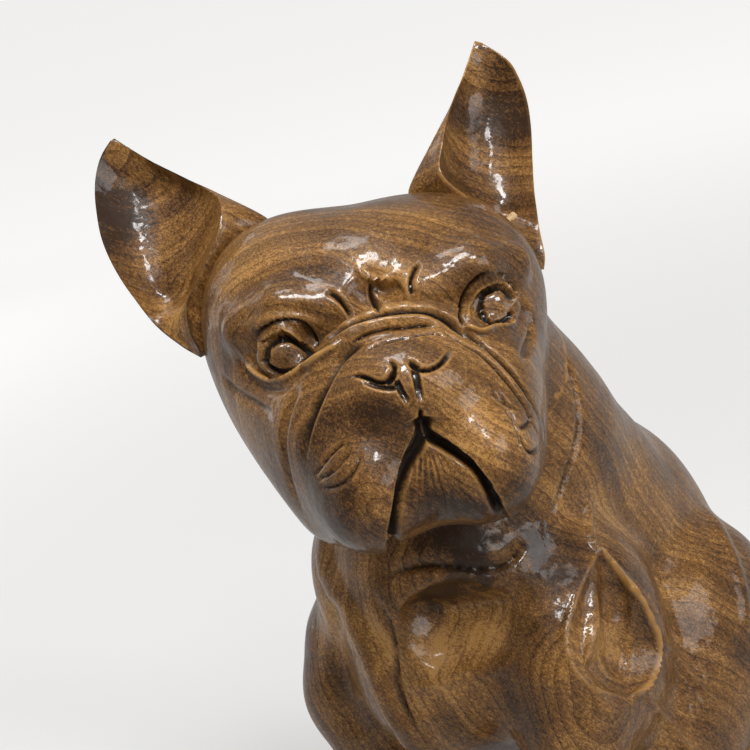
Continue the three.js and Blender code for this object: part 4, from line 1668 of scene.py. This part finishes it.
@dataclass(frozen=True)
class Joint:
    """A glued joint: a point of it, and the way that the lower or outer wood faces there."""

    at: Triple
    facing: Triple
    glue: float = 0.3

    def in_figure(self, place: Placement) -> Joint:
        """Carries the joint from a piece's own frame to the figure's.

        Args:
            place: Where the piece's own frame lies.

        Returns:
            The same joint there.
        """
        at = place.place(np.array([self.at]))[0]
        facing = place.place(np.array([self.facing]))[0] - np.array(place.at)
        return Joint(tuple(at), tuple(facing / np.linalg.norm(facing)), self.glue)

    def past(self, far: float) -> Triple:
        """The point that lies a distance past the joint, the way that it faces."""
        return tuple(np.array(self.at) + far * np.array(self.facing) / np.linalg.norm(self.facing))

    def other_way(self) -> Triple:
        """The way that the upper or inner wood faces."""
        return tuple(-np.array(self.facing))


NECK = Joint((0.0, 14.0, -34.0), (0.0, -0.75, 0.66)).in_figure(HEAD)

# Heights of the legs' joints, and how far from the middle the wood stays beside a hind foot
LEG_JOINT = 40.0
FOOT_JOINT = 18.0
FOOT_JOINT_SIDE = 36.0

# Felt pads: thickness, places on the figure's left and in the middle, and radii
FELT_THICK = 2.0
FORE_PLACE = (42.0, -24.0)
HIND_PLACE = (54.0, 46.0)
RUMP_PLACE = (0.0, 84.0)
FOOT_FELT = 8.5
RUMP_FELT = 16.0
SIDES = {"left": 1.0, "right": -1.0}


@dataclass
class Bench:
    """What every piece is made with: the wood, the figure's form, and where the figure stands."""

    wood: bpy.types.Material
    shift: Triple
    figure: Form

    def hand_over(self, piece: bpy.types.Object, finish: bpy.types.Material, *nodes: str) -> None:
        """Carries a finished piece to the frame, and lets it stand for the solids it shows.

        Args:
            piece: The piece, in the figure's millimetres.
            finish: Its finish.
            nodes: The solids that it stands for.
        """
        piece.data.materials.clear()
        piece.data.materials.append(finish)
        piece.data.polygons.foreach_set("material_index", [0] * len(piece.data.polygons))
        move_vertices(piece.data, (coordinates(piece.data) + np.array(self.shift)) * METRES_PER_MM)
        choose(piece)
        bpy.ops.object.shade_smooth_by_angle(angle=math.radians(SHARP_EDGE))
        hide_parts(*nodes)
        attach(piece, "root")
        LOG.info("%s: %d faces", piece.name, len(piece.data.polygons))


def saw(piece: bpy.types.Object, low: Triple, high: Triple) -> None:
    """Saws a box of wood off a piece.

    Args:
        piece: The piece, in the figure's millimetres.
        low: The box's lowest corner.
        high: The box's highest corner.
    """
    deselect()
    middle = [(a + b) / 2 for a, b in zip(low, high)]
    bpy.ops.mesh.primitive_cube_add(size=1.0, location=middle, scale=[b - a for a, b in zip(low, high)])
    box = bpy.context.active_object
    cut = piece.modifiers.new("saw", "BOOLEAN")
    cut.solver = "MANIFOLD"
    cut.object = box
    bpy.context.view_layer.objects.active = piece
    bpy.ops.object.modifier_apply(modifier=cut.name)
    bpy.data.objects.remove(box)


@dataclass
class Head:
    """Skull, face and jaw, cut from one block: +X to its left, -Y out of its face, eyes at Z 0.

    Attributes:
        rows: Faces along each edge of the blank.
        lean: Where the blank's faces crowd together: at the face.
        spine: The line inside the head that the blank is drawn to.
        reach: How far out the blank starts.
        eyes: Middles of the right and the left eyeball.
        eyeball: Radii of both.
        roll_marks: Line of the skin's fold over the nose, from the middle to the left cheek.
        roll_thick: Radius of that fold over the nose.
        roll_thin: Its radius at the cheek.
        roll_whole: How many points of it keep the full radius.
        spare: Wood left past the neck's joint until it is cut flat.
        rounds: How many times the skin is settled.
        spread: How many times its hollows are averaged.
    """

    rows: int = 129
    lean: Triple = (0.0, -0.45, -0.1)
    spine: tuple[Triple, Triple] = ((0.0, 8.0, -4.0), (0.0, -26.0, -14.0))
    reach: float = 150.0
    eyes: tuple[Triple, Triple] = ((-32.0, -34.8, 0.2), (32.8, -34.8, -1.4))
    eyeball: Triple = (8.0, 5.0, 6.5)
    roll_marks: tuple[Triple, ...] = (
        (0, -49, 2), (11, -48.5, 0), (21, -46.5, -6), (29, -43.5, -17), (33.5, -38, -29), (35.5, -30, -42),
    )
    roll_thick: float = 5.0
    roll_thin: float = 2.5
    roll_whole: int = 3
    spare: float = 4.0
    rounds: int = 4
    spread: int = 2

    def form(self) -> Form:
        """The head's masses.

        Returns:
            The masses in their order, because each runs into those before it.
        """
        form = Form(HEAD)
        # skull, and the heavier right and left side of the forehead and of the cheeks
        form.add(Lump((0, 8, 0), (53.5, 46, 41), 10))
        form.add(Lump((-24, 2, 14), (28, 36, 28), 12), Lump((22.5, 2, 9), (29, 36, 27), 12))
        form.add(Lump((-32, -6, -18), (17, 32, 24), 12), Lump((29.5, -6, -18), (17, 32, 24), 12))
        form.both(Lump((24, -16, -40), (17, 28, 22), 12))
        # forehead's middle, and the back of the jaw
        form.add(Lump((0, -18, 14), (30, 24, 22), 10), Lump((0, 14, -30), (44, 34, 34), 10))
        # brows and eye sockets, then the eyeballs and the dip between the brows
        form.both(
            Limb((42, -25, 10.5), (29, -34.5, 12.5), 6, 7, 6),
            Limb((29, -34.5, 12.5), (11, -38.5, 9), 7, 6.5, 6),
            Lump((31.5, -45, -1.5), (13.4, 6.8, 10.2), 3.0, hollow=True),
        )
        form.add(*(Lump(eye, self.eyeball, 0.4) for eye in self.eyes))
        form.add(Lump((-3, -48, 10), (7, 7, 6), 5, hollow=True))
        # muzzle and flews
        form.add(Lump((0, -34, -28), (36, 31, 33), 6))
        form.both(Lump((17, -40, -42), (18, 27, 22), 6), Lump((27, -30, -22), (13, 22, 17), 8))
        # roll of skin over the nose, and the nose
        form.both(*self.nose_roll())
        form.add(Lump((0, -44, -18), (25, 24, 17), 5))
        return form

    def nose_roll(self) -> list[Limb]:
        """The fold of skin over the nose.

        Returns:
            Its bars, from the middle out to the left cheek.
        """
        marks = curve_through(np.array(self.roll_marks, float), 2)
        sizes = np.interp(np.arange(len(marks)), [0, self.roll_whole, len(marks) - 1],
                          [self.roll_thick, self.roll_thick, self.roll_thin])
        bars = zip(marks, marks[1:], sizes, sizes[1:])
        return [Limb(tuple(start), tuple(end), first, last, 2.0) for start, end, first, last in bars]

    def build(self, bench: Bench) -> None:
        """Carves the head.

        Args:
            bench: The wood, and the figure's form.
        """
        whole = Form().add(bench.figure, Flat(NECK.past(-self.spare), NECK.other_way()))
        head = round_block("head_carved", self.rows, self.lean)
        wrap(head, whole, self.spine, self.reach, HEAD)
        settle(head, whole, self.rounds)
        cut_flat(head, NECK.past(NECK.glue / 2), NECK.other_way())
        carve(head, bench.figure, FACE_LAYERS)
        note_hollows(head, self.spread)
        bench.hand_over(head, bench.wood, "head")


@dataclass
class Trunk:
    """Neck, chest, back, haunches and rump, cut from one log, in the figure's frame.

    Attributes:
        grain: Width of the rough skin's faces.
        keel_marks: Line of the keel, from the neck's right side down over the chest.
        keel_thick: Radius of the keel.
        spare: Wood left past the neck's joint until it is cut flat.
        rounds: How many times the skin is settled.
        spread: How many times its hollows are averaged.
        leg_room: The foreleg's box: inner side, front, back and top.
        foot_room: The same for the hind foot.
        side: Outer side of both boxes.
        under: Their underside.
    """

    grain: float = 1.25
    keel_marks: tuple[Triple, ...] = (
        (-25, -25, 134), (-22, -31, 123), (-12, -36.5, 113), (-6, -38.5, 100),
        (-2.5, -39.5, 87), (0.5, -38.5, 76), (0, -32, 61),
    )
    keel_thick: float = 6.0
    spare: float = 4.0
    rounds: int = 6
    spread: int = 3
    leg_room: tuple[float, float, float, float] = (20.0, -70.0, 10.0, LEG_JOINT)
    foot_room: tuple[float, float, float, float] = (FOOT_JOINT_SIDE, 0.0, 130.0, FOOT_JOINT)
    side: float = 90.0
    under: float = -20.0

    def form(self) -> Form:
        """The trunk's masses.

        Returns:
            The masses in their order, because each runs into those before it.
        """
        form = Form()
        # neck, back, rump, chest and breast
        form.add(Limb((6, 8, 182), (2, 26, 146), 40, 45, 10))
        form.add(Limb((0, 28, 146), (0, 66, 96), 45, 46, 10))
        form.add(Lump((0, 88, 64), (45, 41, 68), 10))
        form.add(Lump((2, 0, 116), (39, 43, 52), 14))
        form.add(Lump((0, -8, 84), (34, 35, 36), 10))
        # shoulders, upper forelegs, ribs, haunches and thighs
        form.both(
            Lump((29, 4, 92), (22, 30, 42), 8),
            Limb((44, -6, 84), (42, -13, 36), 19, 14, 8),
            Lump((43, 14, 78), (19, 34, 42), 12),
            Lump((38, 78, 55), (27, 42, 42), 7),
            Lump((36, 66, 38), (26, 42, 40), 12),
            Lump((40, 46, 30), (24, 40, 26), 10),
        )
        # belly, the neck's right side, the right elbow and the keel
        form.add(Lump((0, 44, 62), (40, 60, 42), 10))
        form.add(Lump((-28, -16, 114), (15.5, 15.5, 26), 10), Lump((-50, -11, 66), (15.5, 16.5, 18), 10))
        form.add(*self.keel())
        # scooped out: the chest's left plane, the drop behind the shoulder, and the space between the legs
        form.add(Lump((30, -38, 108), (24, 15, 18), 2, (0, 0, 32), hollow=True))
        form.add(Limb((60, 13, 113), (67, 5, 95), 7.5, 12, 1.5, hollow=True))
        form.add(Lump((72, 2, 85), (16, 23.6, 20), 1.5, hollow=True))
        form.add(Lump((0, -30, 20), (24, 52, 32), 6, hollow=True))
        return form

    def keel(self) -> list[Limb]:
        """The ridge that runs down the neck's right side and over the chest.

        Returns:
            Its bars, from the top.
        """
        marks = curve_through(np.array(self.keel_marks, float), 2)
        thick = self.keel_thick
        return [Limb(tuple(start), tuple(end), thick, thick, 4.0) for start, end in zip(marks, marks[1:])]

    def build(self, bench: Bench) -> None:
        """Carves the trunk.

        Args:
            bench: The wood, and the figure's form.
        """
        whole = Form().add(bench.figure, Flat(NECK.past(self.spare), NECK.facing))
        trunk = rough_out("trunk_carved", self.form().masses, self.grain)
        settle(trunk, whole, self.rounds)
        cut_flat(trunk, NECK.past(-NECK.glue / 2), NECK.facing)
        cut_flat(trunk, (0.0, 0.0, FELT_THICK), (0.0, 0.0, -1.0))
        carve(trunk, self.form(), BODY_LAYERS)
        for side in (-1.0, 1.0):
            self.saw_legs(trunk, side)
        note_hollows(trunk, self.spread)
        bench.hand_over(trunk, bench.wood, "trunk")

    def saw_legs(self, trunk: bpy.types.Object, side: float) -> None:
        """Saws off the wood that a foreleg and a hind foot take the place of.

        Args:
            trunk: The trunk.
            side: 1 for the figure's left, -1 for its right.
        """
        for near, front, back, top in (self.leg_room, self.foot_room):
            low, high = sorted((side * near, side * self.side))
            saw(trunk, (low, front, self.under), (high, back, top))


def toes(middle: Triple, apart: float, tall: float, long: float, fat: float = 0.62,
         set_back: float = 2.0) -> list[Lump]:
    """Four toes side by side across a paw's front.

    Args:
        middle: The place between the two middle toes.
        apart: From one toe's middle to the next.
        tall: Half of a toe's height.
        long: Half of a toe's length.
        fat: Half of a toe's width, as a share of that distance.
        set_back: How far each step from the middle sets a toe back.

    Returns:
        The toes.
    """
    x, y, z = middle
    radii = (apart * fat, long, tall)
    steps = (-1.5, -0.5, 0.5, 1.5)
    return [Lump((x + step * apart, y + abs(step) * set_back, z), radii, 1.5) for step in steps]


@dataclass
class Foreleg:
    """One lower foreleg with its paw.

    Attributes:
        side: 1 for the figure's left, -1 for its right.
        name: The node that it stands for.
        rows: Faces along each edge of the blank.
        spine: The line inside it that the blank is drawn to, on the figure's left.
        reach: How far out the blank starts.
        rounds: How many times the skin is settled.
        spread: How many times its hollows are averaged.
    """

    side: float
    name: str
    rows: int = 60
    spine: tuple[Triple, Triple] = ((42.0, -18.0, 14.0), (42.0, -12.0, 48.0))
    reach: float = 90.0
    rounds: int = 4
    spread: int = 2

    def form(self) -> Form:
        """The foreleg's masses.

        Returns:
            Leg, paw and toes, on the figure's left.
        """
        upper = Limb((42, -8, 60), (42, -13, 36), 17, 14, 8)
        lower = Limb((42, -13, 36), (42, -17, 14), 14, 12, 6)
        paw = Lump((42, -25, 11), (14, 18, 12), 6)
        return Form().add(upper, lower, paw, *toes((42.0, -37.0, 8.5), 7.4, 8.5, 10.0))

    def build(self, bench: Bench) -> None:
        """Carves the foreleg, and turns it over for the figure's right.

        Args:
            bench: The wood, and the figure's form.
        """
        leg = round_block(f"{self.name}_carved", self.rows)
        wrap(leg, self.form(), self.spine, self.reach)
        settle(leg, self.form(), self.rounds)
        cut_flat(leg, (0.0, 0.0, LEG_JOINT), (0.0, 0.0, 1.0))
        cut_flat(leg, (0.0, 0.0, FELT_THICK), (0.0, 0.0, -1.0))
        turn_over(leg, self.side)
        note_hollows(leg, self.spread)
        bench.hand_over(leg, bench.wood, self.name)


@dataclass
class HindFoot:
    """One hind foot, glued under the haunch.

    Attributes:
        side: 1 for the figure's left, -1 for its right.
        name: The node that it stands for.
        rows: Faces along each edge of the blank.
        spine: The line inside it that the blank is drawn to, on the figure's left.
        reach: How far out the blank starts.
        rounds: How many times the skin is settled.
        spread: How many times its hollows are averaged.
    """

    side: float
    name: str
    rows: int = 60
    spine: tuple[Triple, Triple] = ((58.0, 26.0, 9.0), (50.0, 74.0, 9.0))
    reach: float = 90.0
    rounds: int = 4
    spread: int = 2

    def form(self) -> Form:
        """The foot's masses.

        Returns:
            Foot, paw and toes, on the figure's left.
        """
        foot = Limb((48, 84, 9), (57, 34, 9), 15, 12, 8)
        paw = Lump((59, 23, 9), (14, 18, 11), 6)
        return Form().add(foot, paw, *toes((59.0, 11.0, 7.5), 7.2, 7.5, 9.0))

    def build(self, bench: Bench) -> None:
        """Carves the foot, and turns it over for the figure's right.

        Args:
            bench: The wood, and the figure's form.
        """
        foot = round_block(f"{self.name}_carved", self.rows)
        wrap(foot, self.form(), self.spine, self.reach)
        settle(foot, self.form(), self.rounds)
        cut_flat(foot, (0.0, 0.0, FOOT_JOINT), (0.0, 0.0, 1.0))
        cut_flat(foot, (0.0, 0.0, FELT_THICK), (0.0, 0.0, -1.0))
        cut_flat(foot, (FOOT_JOINT_SIDE + NECK.glue, 0.0, 0.0), (-1.0, 0.0, 0.0))
        turn_over(foot, self.side)
        note_hollows(foot, self.spread)
        bench.hand_over(foot, bench.wood, self.name)


def turn_over(piece: bpy.types.Object, side: float) -> None:
    """Mirrors a piece to the figure's right.

    Args:
        piece: The piece, on the figure's left.
        side: 1 to leave it, -1 to turn it over.
    """
    if side < 0.0:
        move_vertices(piece.data, coordinates(piece.data) * np.array((-1.0, 1.0, 1.0)))
        piece.data.flip_normals()


@dataclass
class FeltPad:
    """A round pad of pressed felt, with a soft upper and lower edge.

    Attributes:
        name: The node that it stands for.
        at: Its middle on the floor, in the figure's millimetres.
        radius: Its radius.
        edge: Width of the soft edge.
        sides: Faces round it.
        edge_rows: Rows of faces across the soft edge.
    """

    name: str
    at: tuple[float, float]
    radius: float
    edge: float = 0.5
    sides: int = 96
    edge_rows: int = 4

    def build(self, bench: Bench, cloth: bpy.types.Material) -> None:
        """Makes the pad.

        Args:
            bench: The wood, and the figure's form.
            cloth: The felt's finish.
        """
        deselect()
        bpy.ops.mesh.primitive_cylinder_add(vertices=self.sides, radius=self.radius, depth=FELT_THICK,
                                            location=(*self.at, FELT_THICK / 2))
        bpy.ops.object.transform_apply(location=True, rotation=True, scale=True)
        pad = bpy.context.active_object
        pad.name = pad.data.name = f"{self.name}_pad"
        bpy.ops.object.mode_set(mode="EDIT")
        bpy.ops.mesh.select_all(action="SELECT")
        bpy.ops.mesh.bevel(offset=self.edge, segments=self.edge_rows)
        bpy.ops.object.mode_set(mode="OBJECT")
        bench.hand_over(pad, cloth, self.name)


@dataclass(frozen=True)
class PegWood:
    """Pale beech of the hidden dowels."""

    name: str = "peg_wood_finish"
    light: Triple = (0.56, 0.37, 0.19)
    dark: Triple = (0.40, 0.24, 0.11)
    streaks: Noise = Noise((1.2, 1.2, 0.1), 4.0, 0.6)
    rough: float = 0.65
    relief: float = 0.08

    def build(self) -> bpy.types.Material:
        """Makes the finish.

        Returns:
            The material.
        """
        graph = Graph(bpy.data.materials.new(self.name))
        streaks = self.streaks.made(graph, graph.millimetres())
        graph.wire("Base Color", graph.mixed(graph.ranged(streaks, *NOISE_CORE), self.dark, self.light))
        graph.wire("Roughness", self.rough)
        graph.wire("Normal", graph.bump(streaks, self.relief))
        return graph.owner


@dataclass(frozen=True)
class Felt:
    """Pressed dark green felt."""

    name: str = "felt_finish"
    dark: Triple = (0.012, 0.030, 0.018)
    light: Triple = (0.030, 0.062, 0.038)
    fibres: Noise = Noise((3.2, 3.2, 3.2), 5.0, 0.7)
    rough: float = 0.95
    sheen: float = 0.3
    relief: float = 0.25

    def build(self) -> bpy.types.Material:
        """Makes the finish.

        Returns:
            The material.
        """
        graph = Graph(bpy.data.materials.new(self.name))
        fibres = self.fibres.made(graph, graph.millimetres())
        graph.wire("Base Color", graph.mixed(graph.ranged(fibres, *NOISE_CORE), self.dark, self.light))
        graph.wire("Roughness", self.rough)
        graph.wire("Sheen Weight", self.sheen)
        graph.wire("Normal", graph.bump(fibres, self.relief))
        return graph.owner


def main() -> None:
    """Builds the figure piece by piece on the frame."""
    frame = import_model()
    low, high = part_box("rump_felt")
    middle = (low + high) / 2 / METRES_PER_MM
    shift = (middle.x - RUMP_PLACE[0], middle.y - RUMP_PLACE[1], 0.0)
    VIEW.build(shift)
    Studio().build()
    head, trunk = Head(), Trunk()
    wood = OiledWood("oiled_hardwood_finish", shift=shift).build()
    bench = Bench(wood, shift, Form().add(head.form(), trunk.form()))
    head.build(bench)
    trunk.build(bench)
    for ear in EARS:
        ear.finish(bench)
    cloth, peg_wood = Felt().build(), PegWood().build()
    for side, sign in SIDES.items():
        Foreleg(sign, f"foreleg_{side}").build(bench)
        HindFoot(sign, f"hind_foot_{side}").build(bench)
        FeltPad(f"fore_felt_{side}", (FORE_PLACE[0] * sign, FORE_PLACE[1]), FOOT_FELT).build(bench, cloth)
        FeltPad(f"hind_felt_{side}", (HIND_PLACE[0] * sign, HIND_PLACE[1]), FOOT_FELT).build(bench, cloth)
    FeltPad("rump_felt", RUMP_PLACE, RUMP_FELT).build(bench, cloth)
    for name, node in frame["nodes"].items():
        if "peg" in name:
            node.data.materials.clear()
            node.data.materials.append(peg_wood)


if __name__ == "__main__":
    main()
